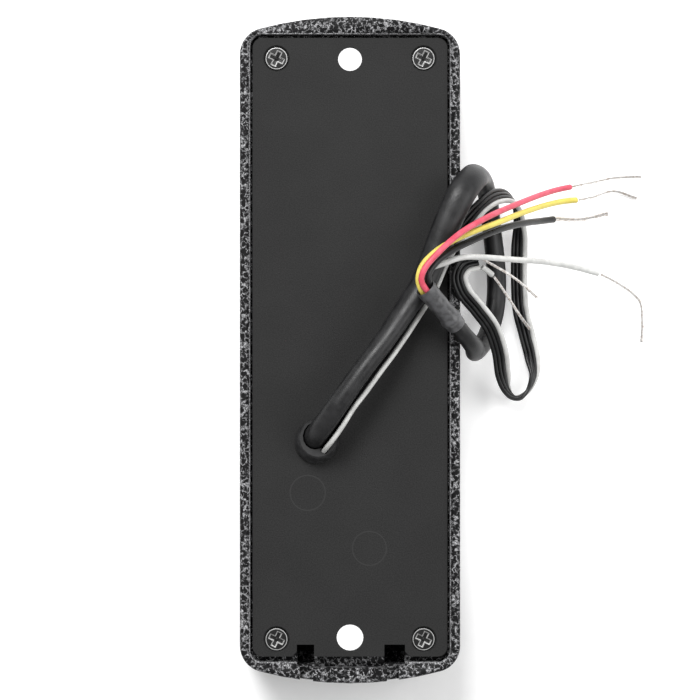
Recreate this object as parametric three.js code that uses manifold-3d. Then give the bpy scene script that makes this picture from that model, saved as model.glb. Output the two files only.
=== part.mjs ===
// Slim wall-mounted RFID card reader with a bell button and a fitted cable.
// Millimetres. The reader lies on its front face: z = 0 is the front, +Z is towards the wall side,
// +Y is the reader's top and +X is to the right when the wall side is looked at.
import * as THREE from "three";
import { mergeVertices } from "three/addons/utils/BufferGeometryUtils.js";
import Module from "manifold-3d";

const wasm = await Module();
wasm.setup();

// ---- Driving dimensions -------------------------------------------------------------------------

// Gap kept between pieces that touch or nest.
const clearance = 0.3;
// How far a cutting shape runs past the surface it cuts.
const overrun = 1;

// Cast case
const caseWidth = 50;
const caseLength = 151.3;
const caseDepth = 22;
const endArcRadius = 79;
const caseCornerRadius = 6;
const frontEdgeRadius = 2.6;
const rearEdgeChamfer = 0.35;
const frontWall = 2.5;
const sideWall = 4.3;
const topBlock = 17.5;
const bottomBlock = 17.65;
const cavityCornerRadius = 3;

// Recess in the wall side that takes the back plate
const rimSide = 2.35;
const rimTop = 4.05;
const rimBottom = 4.85;
const recessCornerRadius = 2.7;

// Back plate
const plateThickness = 2;
const plateSunk = 0.6;
const plateSideGap = 0.55;
const plateTopGap = 0.75;
const plateBottomGap = 1.2;
const plateCornerRadius = 2.2;
const gasketThickness = 0.5;
const gasketSideGap = 0.35;

// Plate screws
const screwHeadRadius = 2.6;
const screwHeadDepth = 1.5;
const screwShankRadius = 1.45;
const screwLength = 12;
const screwSideInset = 5.4;
const screwTopInset = 4.65;
const screwBottomInset = 3.9;
const screwCrossAngle = 65;

// Wall-fixing holes on the centre line
const topHoleRadius = 2.73;
const topHoleInset = 4.75;
const bottomHoleRadius = 3.05;
const bottomHoleInset = 4.2;
const wellRadius = 5.8;
const wellFloor = 2.3;
const wellNeckSpare = 0.78;

// Drain at the lower end: two notches in the plate, two grooves in the rim, a block between them
const notchTopInset = 2.7;
const leftNotchOuter = -12.1;
const leftNotchInner = -8.15;
const rightNotchInner = 7.8;
const rightNotchOuter = 12.5;
const notchChamfer = 1.1;
const pocketFloor = 10;
const leftGrooveOuter = -11.4;
const rightGrooveOuter = 11.1;
const centreBlockHalf = 8.4;
const centreBlockSetback = 1.3;
const grooveDepth = 3;
const weepRadius = 1.05;
const weepInset = 0.7;
const weepSlope = 0.115;

// Front window, status light and bell button
const windowSideGap = 1.7;
const windowGuideGap = 5.15;
const windowButtonGap = 11.2;
const windowCornerRadius = 4;
const flangeOverlap = 2;
const flangeThickness = 1.2;
const sealThickness = 0.5;
const lightGuideWidth = 14;
const lightGuideHeight = 2.6;
const lightGuideTopInset = 25.2;
const buttonRadius = 9;
const buttonBottomInset = 45.65;
const buttonSunk = 0.5;
const buttonFlangeWidth = 1.8;
const buttonFlangeThickness = 1;
const buttonTravel = 0.8;

// Electronics
const boardSideGap = 1.7;
const boardEndGap = 5.1;
const boardThickness = 1.6;
const boardFront = 9;
const boardCornerRadius = 2;
const postRadius = 2.7;
const postSideInset = 3;
const postEndInset = 3.5;
const boardScrewHeadRadius = 2.2;
const boardScrewHeadHeight = 1.5;
const boardScrewShankRadius = 1.1;
const boardScrewLength = 6.2;
const coilWidth = 2.4;
const coilThickness = 1.4;
const coilInset = 2;
const switchBodyWidth = 6.2;
const switchPlungerRadius = 1.7;
const springRadius = 6.6;
const springWire = 0.7;
const springTurns = 2.5;
const capacitorRadius = 3.2;
const capacitorHeadroom = 2;
const sounderRadius = 5.6;
const sounderHeadroom = 3.1;
const plugHeadroom = 2.8;
const headerFloor = 1;
const headerShareOfPlug = 0.64;

// Cable outlet
const grommetX = -7.6;
const grommetY = -20.9;
const grommetNeckRadius = 4.5;
const grommetFlangeStep = 0.5;
const grommetInnerStep = 1.1;
const grommetMouthRadius = 4.5;
const grommetInnerFlange = 1.4;
const grommetHeight = 3.4;
const bootLeanX = 0.13;
const bootLeanY = 0.27;

// Height of the plate's rear face for which the cords' points were chosen
const routedPlateRear = 21.4;

// Cords
const cableDiameter = 5.2;
const sleeveRadius = 2.95;
const sleeveRidgeRadius = 3.15;
const sleeveLength = 13.5;
const cableEndInSleeve = 3;
const wireDiameter = 1.35;
const blackWireDiameter = 1.6;
const leadWidth = 3.6;
const leadThickness = 1;
const strandDiameter = 0.6;
const heavyStrandDiameter = 0.9;
const stubDiameter = 1.3;

// ---- Values worked out from them ----------------------------------------------------------------

const halfWidth = caseWidth / 2;
const halfLength = caseLength / 2;
const recessHalfWidth = halfWidth - rimSide;
const recessTop = halfLength - rimTop;
const recessBottom = -halfLength + rimBottom;
const plateHalfWidth = recessHalfWidth - plateSideGap;
const plateTop = recessTop - plateTopGap;
const plateBottom = recessBottom + plateBottomGap;
const plateRear = caseDepth - plateSunk;
const plateInner = plateRear - plateThickness;
const ledge = plateInner - gasketThickness - 2 * clearance;
const screwX = plateHalfWidth - screwSideInset;
const topScrewY = plateTop - screwTopInset;
const bottomScrewY = plateBottom + screwBottomInset;
const topHoleY = plateTop - topHoleInset;
const bottomHoleY = plateBottom + bottomHoleInset;
const wellSeat = ledge - wellFloor;
const cavityHalfWidth = halfWidth - sideWall;
const cavityTop = halfLength - topBlock;
const cavityBottom = -halfLength + bottomBlock;
const notchTop = plateBottom + notchTopInset;
const grooveFloor = caseDepth - grooveDepth;
const gasketWidth = recessHalfWidth - gasketSideGap - cavityHalfWidth - clearance;
const lightGuideY = halfLength - lightGuideTopInset;
const buttonY = -halfLength + buttonBottomInset;
const windowWidth = 2 * (cavityHalfWidth - windowSideGap - flangeOverlap);
const windowTop = lightGuideY - lightGuideHeight / 2 - windowGuideGap;
const windowBottom = buttonY + buttonRadius + buttonFlangeWidth + windowButtonGap;
const windowLength = windowTop - windowBottom;
const windowY = (windowTop + windowBottom) / 2;
const boardTop = cavityTop - boardEndGap;
const boardBottom = cavityBottom + boardEndGap;
const boardRear = boardFront + boardThickness;
const boardHalfWidth = cavityHalfWidth - boardSideGap;
const postX = boardHalfWidth - postSideInset;
const postTopY = boardTop - postEndInset;
const postBottomY = boardBottom + postEndInset;
const postHeight = boardFront - clearance;
const sealFront = frontWall + clearance;
const flangeFront = sealFront + sealThickness + clearance;
const flangeRear = flangeFront + flangeThickness;
const buttonFlangeRear = flangeFront + buttonFlangeThickness;
const chipSeat = boardRear + clearance;
const capacitorTop = plateInner - capacitorHeadroom;
const sounderTop = plateInner - sounderHeadroom;
const plugTop = plateInner - plugHeadroom;
const headerWell = chipSeat + headerFloor;
const headerTop = headerWell + (plugTop - headerWell) * headerShareOfPlug;
const grommetFlangeRadius = grommetNeckRadius + grommetFlangeStep;
const grommetInnerFlangeRadius = grommetNeckRadius + grommetInnerStep;

// ---- Finishes -----------------------------------------------------------------------------------

function finish(color, roughness, metalness) {
  return new THREE.MeshStandardMaterial({ color, roughness, metalness });
}

const hammeredPaint = () => finish(0x4a4b4d, 0.45, 0.35);
const blackPlastic = () => finish(0x3a3a3a, 0.7, 0);
const blackGloss = () => finish(0x101113, 0.15, 0);
const clearPlastic = () => finish(0xdfe6ea, 0.2, 0);
const darkNickel = () => finish(0x77787a, 0.3, 1);
const blackRubber = () => finish(0x1c1c1d, 0.8, 0);
const greySleeve = () => finish(0x5c5d5f, 0.6, 0);
const greenLaminate = () => finish(0x1f5a3a, 0.5, 0);
const blackEpoxy = () => finish(0x18191a, 0.6, 0);
const paleNylon = () => finish(0xe6e2d4, 0.5, 0);
const enamelCopper = () => finish(0x9c4a24, 0.35, 0.8);
const brightSteel = () => finish(0xb9bbbd, 0.3, 1);
const tinnedCopper = () => finish(0xcfd0d2, 0.35, 0.9);
const insulation = (color) => finish(color, 0.4, 0);

// ---- Shape helpers ------------------------------------------------------------------------------

/** A closed geometry as a solid that can be joined and cut. */
function solid(geometry) {
  const bare = geometry.index ? geometry.toNonIndexed() : geometry.clone();
  bare.deleteAttribute("normal");
  bare.deleteAttribute("uv");
  const merged = mergeVertices(bare, 1e-4);
  const vertProperties = new Float32Array(merged.attributes.position.array);
  const triVerts = new Uint32Array(merged.index.array);
  return new wasm.Manifold(new wasm.Mesh({ numProp: 3, vertProperties, triVerts }));
}

/** A solid back as a geometry with flat-shaded normals. */
function geometryOf(body) {
  const mesh = body.getMesh();
  const geometry = new THREE.BufferGeometry();
  geometry.setAttribute("position", new THREE.BufferAttribute(mesh.vertProperties, 3));
  geometry.setIndex(new THREE.BufferAttribute(mesh.triVerts, 1));
  geometry.computeVertexNormals();
  return geometry;
}

/** base with every cutter taken away from it. */
function cut(base, ...cutters) {
  return geometryOf(cutters.reduce((body, cutter) => body.subtract(solid(cutter)), solid(base)));
}

/** base and every other geometry joined into one. */
function join(base, ...others) {
  return geometryOf(others.reduce((body, other) => body.add(solid(other)), solid(base)));
}

/** A rectangle with rounded corners, given by its edges. */
function roundedBox(left, right, bottom, top, radius) {
  const shape = new THREE.Shape();
  shape.absarc(right - radius, top - radius, radius, 0, Math.PI / 2);
  shape.absarc(left + radius, top - radius, radius, Math.PI / 2, Math.PI);
  shape.absarc(left + radius, bottom + radius, radius, Math.PI, 1.5 * Math.PI);
  shape.absarc(right - radius, bottom + radius, radius, 1.5 * Math.PI, 2 * Math.PI);
  shape.closePath();
  return shape;
}

/** A shape through corner points given as [x, y] pairs. */
function outline(points) {
  return new THREE.Shape(points.map(([x, y]) => new THREE.Vector2(x, y)));
}

/** A flat shape carried from one height to another. */
function prism(shape, low, high, curveSegments = 4) {
  const geometry = new THREE.ExtrudeGeometry(shape, {
    depth: high - low,
    bevelEnabled: false,
    curveSegments,
  });
  return geometry.translate(0, 0, low);
}

function box(left, right, bottom, top, low, high) {
  return new THREE.BoxGeometry(right - left, top - bottom, high - low).translate(
    (left + right) / 2,
    (bottom + top) / 2,
    (low + high) / 2,
  );
}

/** A solid of revolution about a line along Z through (x, y), from [radius, height] pairs. */
function turned(x, y, profile, sides = 24) {
  const points = profile.map(([radius, height]) => new THREE.Vector2(radius, height));
  const geometry = new THREE.LatheGeometry(points, sides);
  return geometry.rotateX(Math.PI / 2).translate(x, y, 0);
}

/** A plain round rod or, as a cutter, a round hole. */
function rod(x, y, radius, low, high, sides = 24) {
  return turned(x, y, [[0, low], [radius, low], [radius, high], [0, high]], sides);
}

/** A ring with a rectangular section. */
function ring(x, y, inner, outer, low, high, sides = 24) {
  const profile = [[inner, low], [outer, low], [outer, high], [inner, high], [inner, low]];
  return turned(x, y, profile, sides);
}

/** A geometry slid sideways in proportion to its height above a level, like a leaning stack. */
function leaned(geometry, level) {
  const shear = new THREE.Matrix4().makeShear(0, 0, 0, 0, bootLeanX, bootLeanY);
  return geometry.translate(0, 0, -level).applyMatrix4(shear).translate(0, 0, level);
}

// ---- Case ---------------------------------------------------------------------------------------

/** The case's plan pulled in by an inset: straight sides, arched ends and rounded corners. */
function casePlan(inset) {
  const half = halfWidth - inset;
  const corner = caseCornerRadius - inset;
  const arch = endArcRadius - inset;
  const archY = halfLength - endArcRadius;
  const cornerX = half - corner;
  const cornerY = archY + Math.sqrt((arch - corner) ** 2 - cornerX ** 2);
  const turn = Math.atan2(cornerY - archY, cornerX);
  const upperHalf = [
    ...arcPoints(cornerX, cornerY, corner, 0, turn).slice(0, -1),
    ...arcPoints(0, archY, arch, turn, Math.PI - turn).slice(0, -1),
    ...arcPoints(-cornerX, cornerY, corner, Math.PI - turn, Math.PI),
  ];
  const lowerHalf = upperHalf.map((point) => new THREE.Vector2(-point.x, -point.y));
  return [...upperHalf, ...lowerHalf];
}

/** Points along an arc, both ends included. */
function arcPoints(x, y, radius, from, to) {
  const steps = 8;
  const points = [];
  for (let step = 0; step <= steps; step += 1) {
    const angle = from + ((to - from) * step) / steps;
    points.push(new THREE.Vector2(x + radius * Math.cos(angle), y + radius * Math.sin(angle)));
  }
  return points;
}

/** The case's outer block: the plan at each [height, inset] level, joined level to level. */
function caseBlock() {
  const edge = frontEdgeRadius;
  const levels = [0, 1, 2, 3].map((step) => {
    const angle = (step / 3) * (Math.PI / 2);
    return [edge * (1 - Math.cos(angle)), edge * (1 - Math.sin(angle))];
  });
  levels.push([caseDepth - rearEdgeChamfer, 0], [caseDepth, rearEdgeChamfer]);
  const rings = levels.map(([height, inset]) =>
    casePlan(inset).map((point) => new THREE.Vector3(point.x, point.y, height)),
  );
  const count = rings[0].length;
  const positions = rings.flat().flatMap((point) => point.toArray());
  const index = [];
  for (let level = 0; level + 1 < rings.length; level += 1) {
    for (let side = 0; side < count; side += 1) {
      const next = (side + 1) % count;
      const [a, b] = [level * count + side, level * count + next];
      const [c, d] = [a + count, b + count];
      index.push(a, b, d, a, d, c);
    }
  }
  const top = (rings.length - 1) * count;
  for (const [a, b, c] of THREE.ShapeUtils.triangulateShape(casePlan(rearEdgeChamfer), [])) {
    index.push(top + a, top + b, top + c);
    index.push(a, c, b);
  }
  const geometry = new THREE.BufferGeometry();
  geometry.setAttribute("position", new THREE.Float32BufferAttribute(positions, 3));
  geometry.setIndex(index);
  return geometry;
}

/** The recess, cavity, wells and front openings that are cast into the case. */
function caseHollows() {
  const above = caseDepth + overrun;
  const recess = roundedBox(
    -recessHalfWidth, recessHalfWidth, recessBottom, recessTop, recessCornerRadius,
  );
  const cavity = roundedBox(
    -cavityHalfWidth, cavityHalfWidth, cavityBottom, cavityTop, cavityCornerRadius,
  );
  const opening = roundedBox(
    -windowWidth / 2, windowWidth / 2,
    windowY - windowLength / 2, windowY + windowLength / 2, windowCornerRadius,
  );
  const guide = roundedBox(
    -lightGuideWidth / 2, lightGuideWidth / 2,
    lightGuideY - lightGuideHeight / 2, lightGuideY + lightGuideHeight / 2,
    lightGuideHeight / 2 - 0.01,
  );
  return [
    prism(recess, ledge, above),
    prism(cavity, frontWall, above),
    prism(opening, -overrun, frontWall + overrun),
    prism(guide, -overrun, frontWall + overrun),
    rod(0, buttonY, buttonRadius + clearance, -overrun, frontWall + overrun),
    rod(0, topHoleY, wellRadius, -overrun, wellSeat),
    rod(0, bottomHoleY, wellRadius, -overrun, wellSeat),
    rod(0, topHoleY, topHoleRadius + wellNeckSpare, 0, above),
    rod(0, bottomHoleY, bottomHoleRadius + wellNeckSpare, 0, above),
  ];
}

/** The grooves, pockets and weep hole that let water out at the lower end. */
function caseDrains() {
  const above = caseDepth + overrun;
  const beyond = -halfLength - overrun;
  const blockEdge = recessBottom - centreBlockSetback;
  const inside = recessBottom + overrun;
  const pocketBottom = blockEdge + clearance;
  const weepY = plateBottom + weepInset;
  const weep = rod(0, weepY, weepRadius, -overrun, ledge + overrun, 12);
  const slope = new THREE.Matrix4().makeShear(0, 0, 0, 0, 0, weepSlope);
  weep.translate(0, -weepY, -ledge).applyMatrix4(slope).translate(0, weepY, ledge);
  return [
    box(leftGrooveOuter, rightGrooveOuter, blockEdge, inside, ledge, above),
    box(leftGrooveOuter, -centreBlockHalf, beyond, inside, grooveFloor, above),
    box(centreBlockHalf, rightGrooveOuter, beyond, inside, grooveFloor, above),
    box(leftNotchOuter, leftNotchInner, pocketBottom, notchTop, pocketFloor, above),
    box(rightNotchInner, rightNotchOuter, pocketBottom, notchTop, pocketFloor, above),
    weep,
  ];
}

function screwPlaces() {
  return [
    ["top_left", -screwX, topScrewY],
    ["top_right", screwX, topScrewY],
    ["bottom_left", -screwX, bottomScrewY],
    ["bottom_right", screwX, bottomScrewY],
  ];
}

function postPlaces() {
  return [
    ["top_left", -postX, postTopY],
    ["top_right", postX, postTopY],
    ["bottom_left", -postX, postBottomY],
    ["bottom_right", postX, postBottomY],
  ];
}

function makeCase() {
  const screwHoleFloor = plateRear - screwLength - 2 * clearance;
  const screwHoles = screwPlaces().map(([, x, y]) =>
    rod(x, y, screwShankRadius + clearance, screwHoleFloor, caseDepth + overrun, 12),
  );
  const posts = postPlaces().map(([, x, y]) =>
    rod(x, y, postRadius, frontWall / 2, postHeight, 14),
  );
  const holeFloor = boardRear + clearance - boardScrewLength - clearance;
  const postHoles = postPlaces().map(([, x, y]) =>
    rod(x, y, boardScrewShankRadius + clearance, holeFloor, postHeight + overrun, 12),
  );
  const shell = cut(caseBlock(), ...caseHollows());
  return cut(join(shell, ...posts), ...caseDrains(), ...screwHoles, ...postHoles);
}

// ---- Back plate, gasket and screws --------------------------------------------------------------

/** The plate's plan with its two drain notches and rounded corners. */
function platePlan() {
  const [half, corner] = [plateHalfWidth, plateCornerRadius];
  const shape = new THREE.Shape();
  shape.absarc(half - corner, plateTop - corner, corner, 0, Math.PI / 2);
  shape.absarc(-half + corner, plateTop - corner, corner, Math.PI / 2, Math.PI);
  shape.absarc(-half + corner, plateBottom + corner, corner, Math.PI, 1.5 * Math.PI);
  shape.lineTo(leftNotchOuter - notchChamfer, plateBottom);
  shape.lineTo(leftNotchOuter, plateBottom + notchChamfer);
  shape.lineTo(leftNotchOuter, notchTop);
  shape.lineTo(leftNotchInner, notchTop);
  shape.lineTo(leftNotchInner, plateBottom);
  shape.lineTo(rightNotchInner, plateBottom);
  shape.lineTo(rightNotchInner, notchTop);
  shape.lineTo(rightNotchOuter, notchTop);
  shape.lineTo(rightNotchOuter, plateBottom + notchChamfer);
  shape.lineTo(rightNotchOuter + notchChamfer, plateBottom);
  shape.absarc(half - corner, plateBottom + corner, corner, 1.5 * Math.PI, 2 * Math.PI);
  return shape;
}

/** A countersunk hole whose cone takes the screw head with the usual gap. */
function countersink(x, y) {
  const coneGap = 1.5 * clearance;
  const neck = screwShankRadius + coneGap;
  const mouth = screwHeadRadius + coneGap;
  return turned(x, y, [
    [0, plateInner - overrun],
    [neck, plateInner - overrun],
    [neck, plateRear - screwHeadDepth],
    [mouth, plateRear],
    [mouth, plateRear + overrun],
    [0, plateRear + overrun],
  ], 16);
}

function makeBackPlate() {
  const [low, high] = [plateInner - overrun, plateRear + overrun];
  return cut(
    prism(platePlan(), plateInner, plateRear),
    rod(0, topHoleY, topHoleRadius, low, high),
    rod(0, bottomHoleY, bottomHoleRadius, low, high),
    rod(grommetX, grommetY, grommetNeckRadius + clearance, low, high),
    ...screwPlaces().map(([, x, y]) => countersink(x, y)),
  );
}

/** The flat rubber ring between the case's ledge and the plate. */
function makeBackGasket() {
  const inner = cavityHalfWidth + clearance;
  const [top, bottom] = [cavityTop + clearance, cavityBottom - clearance];
  const outer = inner + gasketWidth;
  const shape = roundedBox(
    -outer, outer, bottom - gasketWidth, top + gasketWidth, cavityCornerRadius + gasketWidth,
  );
  shape.holes.push(roundedBox(-inner, inner, bottom, top, cavityCornerRadius));
  return prism(shape, ledge + clearance, ledge + clearance + gasketThickness);
}

/** A countersunk cross-head screw with its head flush with the plate's rear face. */
function makePlateScrew(x, y) {
  const crossDepth = 1.1;
  const crossWidth = 0.9;
  const crossReach = 1.65;
  const tip = plateRear - screwLength;
  const body = turned(x, y, [
    [0, tip],
    [screwShankRadius - 0.5, tip],
    [screwShankRadius, tip + 0.6],
    [screwShankRadius, plateRear - screwHeadDepth],
    [screwHeadRadius, plateRear - 0.15],
    [screwHeadRadius, plateRear],
    [0, plateRear],
  ], 16);
  const arms = [0, 90].map((quarter) =>
    new THREE.BoxGeometry(2 * crossReach, crossWidth, 2 * crossDepth)
      .rotateZ(THREE.MathUtils.degToRad(screwCrossAngle + quarter))
      .translate(x, y, plateRear),
  );
  return cut(body, ...arms);
}

// ---- Front window, status light and bell button -------------------------------------------------

/** The window's plan grown by an amount on every side. */
function windowPlan(grown) {
  return roundedBox(
    -windowWidth / 2 - grown,
    windowWidth / 2 + grown,
    windowY - windowLength / 2 - grown,
    windowY + windowLength / 2 + grown,
    windowCornerRadius + Math.max(grown, -1),
  );
}

/** The plastic panel that the radio field passes through, with a flange behind the front wall. */
function makeWindow() {
  return join(
    prism(windowPlan(-clearance), 0, flangeRear - flangeThickness / 2),
    prism(windowPlan(flangeOverlap), flangeFront, flangeRear),
  );
}

function makeWindowSeal() {
  const shape = windowPlan(flangeOverlap);
  shape.holes.push(windowPlan(0));
  return prism(shape, sealFront, sealFront + sealThickness);
}

/** A clear bar that carries the status lights to the front face. */
function makeLightGuide() {
  const [halfX, halfY] = [lightGuideWidth / 2 - clearance, lightGuideHeight / 2 - clearance];
  const shoulder = 0.9;
  const plug = roundedBox(
    -halfX, halfX, lightGuideY - halfY, lightGuideY + halfY, halfY - 0.01,
  );
  const foot = roundedBox(
    -halfX - shoulder, halfX + shoulder,
    lightGuideY - halfY - shoulder, lightGuideY + halfY + shoulder, halfY,
  );
  return join(
    prism(plug, 0.2, sealFront + 1),
    prism(foot, sealFront, boardFront - 2.2),
  );
}

/** The round button cap: a shallow crown and a flange that stops it behind the front wall. */
function makeButtonCap() {
  const edge = 0.8;
  const crown = 0.3;
  const face = buttonSunk;
  return turned(0, buttonY, [
    [0, face],
    [buttonRadius * 0.55, face + crown * 0.3],
    [buttonRadius - edge, face + crown],
    [buttonRadius, face + crown + edge],
    [buttonRadius, flangeFront],
    [buttonRadius + buttonFlangeWidth, flangeFront],
    [buttonRadius + buttonFlangeWidth, buttonFlangeRear],
    [0, buttonFlangeRear],
  ]);
}

function makeButtonSeal() {
  const inner = buttonRadius + 2 * clearance;
  const outer = buttonRadius + buttonFlangeWidth;
  return ring(0, buttonY, inner, outer, sealFront, sealFront + sealThickness);
}

/** The switch on the front of the board, with a bore for its plunger. */
function makeSwitchBody() {
  const half = switchBodyWidth / 2;
  const front = buttonFlangeRear + buttonTravel + clearance + 0.1;
  const rear = boardFront - clearance;
  const shape = roundedBox(-half, half, buttonY - half, buttonY + half, 0.6);
  const bore = rod(
    0, buttonY, switchPlungerRadius + clearance, front - overrun, rear - clearance,
  );
  return cut(prism(shape, front, rear), bore);
}

function makeSwitchPlunger() {
  const front = buttonFlangeRear + clearance;
  const rear = boardFront - 3 * clearance - buttonTravel;
  return rod(0, buttonY, switchPlungerRadius, front, rear);
}

/** The coil spring that returns the button, a round wire wound between flange and board. */
function makeButtonSpring() {
  const low = buttonFlangeRear + clearance + springWire / 2;
  const high = boardFront - clearance - springWire / 2;
  const stepsPerTurn = 12;
  const steps = springTurns * stepsPerTurn;
  const points = [];
  for (let step = 0; step <= steps; step += 1) {
    const angle = (step / stepsPerTurn) * 2 * Math.PI;
    const height = low + ((high - low) * step) / steps;
    const [x, y] = [springRadius * Math.cos(angle), springRadius * Math.sin(angle)];
    points.push(new THREE.Vector3(x, buttonY + y, height));
  }
  return tube(points, springWire, steps);
}

// ---- Electronics --------------------------------------------------------------------------------

function makeBoard() {
  const shape = roundedBox(
    -boardHalfWidth, boardHalfWidth, boardBottom, boardTop, boardCornerRadius,
  );
  const holes = postPlaces().map(([, x, y]) =>
    rod(x, y, boardScrewShankRadius + clearance, 0, caseDepth, 12),
  );
  return cut(prism(shape, boardFront, boardRear), ...holes);
}

function makeBoardScrew(x, y) {
  const seat = boardRear + clearance;
  const slot = box(
    x - 0.3, x + 0.3, y - 1.5, y + 1.5, seat + 0.9, seat + boardScrewHeadHeight + overrun,
  );
  return cut(
    turned(x, y, [
      [0, seat - boardScrewLength],
      [boardScrewShankRadius, seat - boardScrewLength],
      [boardScrewShankRadius, seat],
      [boardScrewHeadRadius, seat],
      [boardScrewHeadRadius, seat + 1],
      [boardScrewHeadRadius - 0.6, seat + boardScrewHeadHeight],
      [0, seat + boardScrewHeadHeight],
    ], 16),
    slot,
  );
}

/** The flat wound aerial behind the window. */
function makeAntennaCoil() {
  const shape = windowPlan(-coilInset);
  shape.holes.push(windowPlan(-coilInset - coilWidth));
  const front = flangeRear + clearance;
  return prism(shape, front, front + coilThickness);
}

/** A moulded chip body on the rear of the board, with a chamfered lid. */
function makeChip(x, y, width, length, height) {
  const [halfX, halfY] = [width / 2, length / 2];
  const top = chipSeat + height;
  const body = roundedBox(x - halfX, x + halfX, y - halfY, y + halfY, 0.3);
  const dot = rod(x - halfX + 1.2, y + halfY - 1.2, 0.4, top - 0.15, top + overrun, 10);
  return cut(prism(body, chipSeat, top, 2), dot);
}

/** One of the three lights on the front of the board, behind the light guide. */
function makeStatusLight(x) {
  const rear = boardFront - clearance;
  return prism(
    roundedBox(x - 1.5, x + 1.5, lightGuideY - 0.9, lightGuideY + 0.9, 0.3),
    rear - 1.4, rear, 2,
  );
}

/** A can capacitor: a base, the rolled groove above it and a bevelled lid. */
function makeCapacitor(x, y) {
  const can = capacitorRadius - 0.05;
  return turned(x, y, [
    [0, chipSeat],
    [capacitorRadius, chipSeat],
    [capacitorRadius, chipSeat + 1.1],
    [can - 0.25, chipSeat + 1.4],
    [can, chipSeat + 1.7],
    [can, capacitorTop - 0.3],
    [can - 0.35, capacitorTop],
    [0, capacitorTop],
  ], 20);
}

/** The round sounder, with the small outlet in its lid. */
function makeSounder(x, y) {
  const outlet = rod(x, y, 0.9, sounderTop - 1, sounderTop + overrun, 12);
  return cut(rod(x, y, sounderRadius, chipSeat, sounderTop, 28), outlet);
}

/** A connector: a header shell on the board, open upwards. */
function makeHeader(x, y, ways) {
  const pitch = 2;
  const half = (ways * pitch) / 2 + 1;
  const shape = roundedBox(x - half, x + half, y - 2.6, y + 2.6, 0.4);
  const well = box(
    x - half + 0.8, x + half - 0.8, y - 1.8, y + 1.8, headerWell, headerTop + overrun,
  );
  return cut(prism(shape, chipSeat, headerTop, 2), well);
}

/** The plug that stands in a header, with a bore for each wire. */
function makePlug(x, y, ways) {
  const pitch = 2;
  const half = (ways * pitch) / 2 + 0.2 - clearance;
  const shape = roundedBox(x - half, x + half, y - 1.5, y + 1.5, 0.3);
  const bores = [];
  for (let way = 0; way < ways; way += 1) {
    const wayX = x + (way - (ways - 1) / 2) * pitch;
    bores.push(rod(wayX, y, 0.8, plugTop - 1.4, plugTop + overrun, 10));
  }
  return cut(prism(shape, headerWell + clearance, plugTop, 2), ...bores);
}

// ---- Cable outlet and cords ---------------------------------------------------------------------

/** A polygon with a point to start and as many sides as asked. */
function roundSection(diameter, sides) {
  const points = [];
  for (let side = 0; side < sides; side += 1) {
    const angle = (side / sides) * 2 * Math.PI;
    points.push([(diameter / 2) * Math.cos(angle), (diameter / 2) * Math.sin(angle)]);
  }
  return outline(points);
}

/** A smooth curve through hand-set points. */
function routeThrough(points) {
  const vectors = points.map((point) =>
    point.isVector3 ? point : new THREE.Vector3(point[0], point[1], point[2]),
  );
  return new THREE.CatmullRomCurve3(vectors, false, "centripetal");
}

/** A round cord along a route, given as a curve or as points. */
function tube(route, diameter, steps, sides = 8) {
  const extrudePath = Array.isArray(route) ? routeThrough(route) : route;
  return new THREE.ExtrudeGeometry(roundSection(diameter, sides), {
    steps,
    bevelEnabled: false,
    extrudePath,
  });
}

/** The part of a route between two distances along it. */
class Stretch extends THREE.Curve {
  constructor(route, from, to) {
    super();
    const total = route.getLength();
    this.route = route;
    this.from = from / total;
    this.span = (to - from) / total;
  }

  getPoint(share) {
    return this.route.getPointAt(Math.min(1, this.from + this.span * share));
  }
}

/** A route whose section is kept turned by a chosen direction at each point. */
class TurnedRoute extends THREE.CatmullRomCurve3 {
  constructor(stations) {
    super(stations.map(([point]) => new THREE.Vector3(...point)), false, "centripetal");
    this.faces = stations.map(([, face]) => new THREE.Vector3(...face));
  }

  computeFrenetFrames(segments) {
    const [tangents, normals, binormals] = [[], [], []];
    for (let step = 0; step <= segments; step += 1) {
      const along = this.getUtoTmapping(step / segments) * (this.faces.length - 1);
      const from = Math.min(Math.floor(along), this.faces.length - 2);
      const face = this.faces[from].clone().lerp(this.faces[from + 1], along - from);
      const tangent = this.getTangentAt(step / segments);
      const normal = face.addScaledVector(tangent, -face.dot(tangent)).normalize();
      tangents.push(tangent);
      normals.push(normal);
      binormals.push(tangent.clone().cross(normal));
    }
    return { tangents, normals, binormals };
  }
}

// Main cable: out of the grommet, across the plate, over the rim, down beside the case to the
// surface it lies on, round and back up until its sleeve rests on its own first run.
const cableRoute = [
  [-8.2, -20.4, 15.5],
  [-8.2, -20.4, 19.6],
  [-8.1, -20.2, 22],
  [-7.8, -19.6, 24.4],
  [-7.2, -18.6, 26.5],
  [-6.3, -17.3, 28.3],
  [-5, -15.5, 29.7],
  [-3.3, -13, 30.6],
  [-1.2, -10, 30.9],
  [1.6, -6, 30.8],
  [4.6, -2, 30.3],
  [7.7, 2.1, 29.5],
  [13.1, 10.1, 27.9],
  [16.4, 14.9, 27.3],
  [19.2, 21.6, 27],
  [22.4, 29.6, 27],
  [25.3, 35.6, 26.3],
  [27.8, 38.9, 22.8],
  [29.4, 39.9, 16.8],
  [31, 38.2, 10.4],
  [32.4, 34.2, 5.3],
  [33.2, 28, 3.2],
  [34, 21, 2.9],
  [34.3, 14.5, 3],
  [33.7, 8.6, 4.2],
  [32, 3.6, 7.4],
  [30, 0.7, 12.2],
  [28.6, -0.2, 17.6],
  [28.2, 0.6, 22.2],
  [26.4, 2.6, 25.8],
  [23.3, 6.2, 28.6],
  [20, 10, 31.4],
  [16.7, 13.8, 33.9],
];

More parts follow.
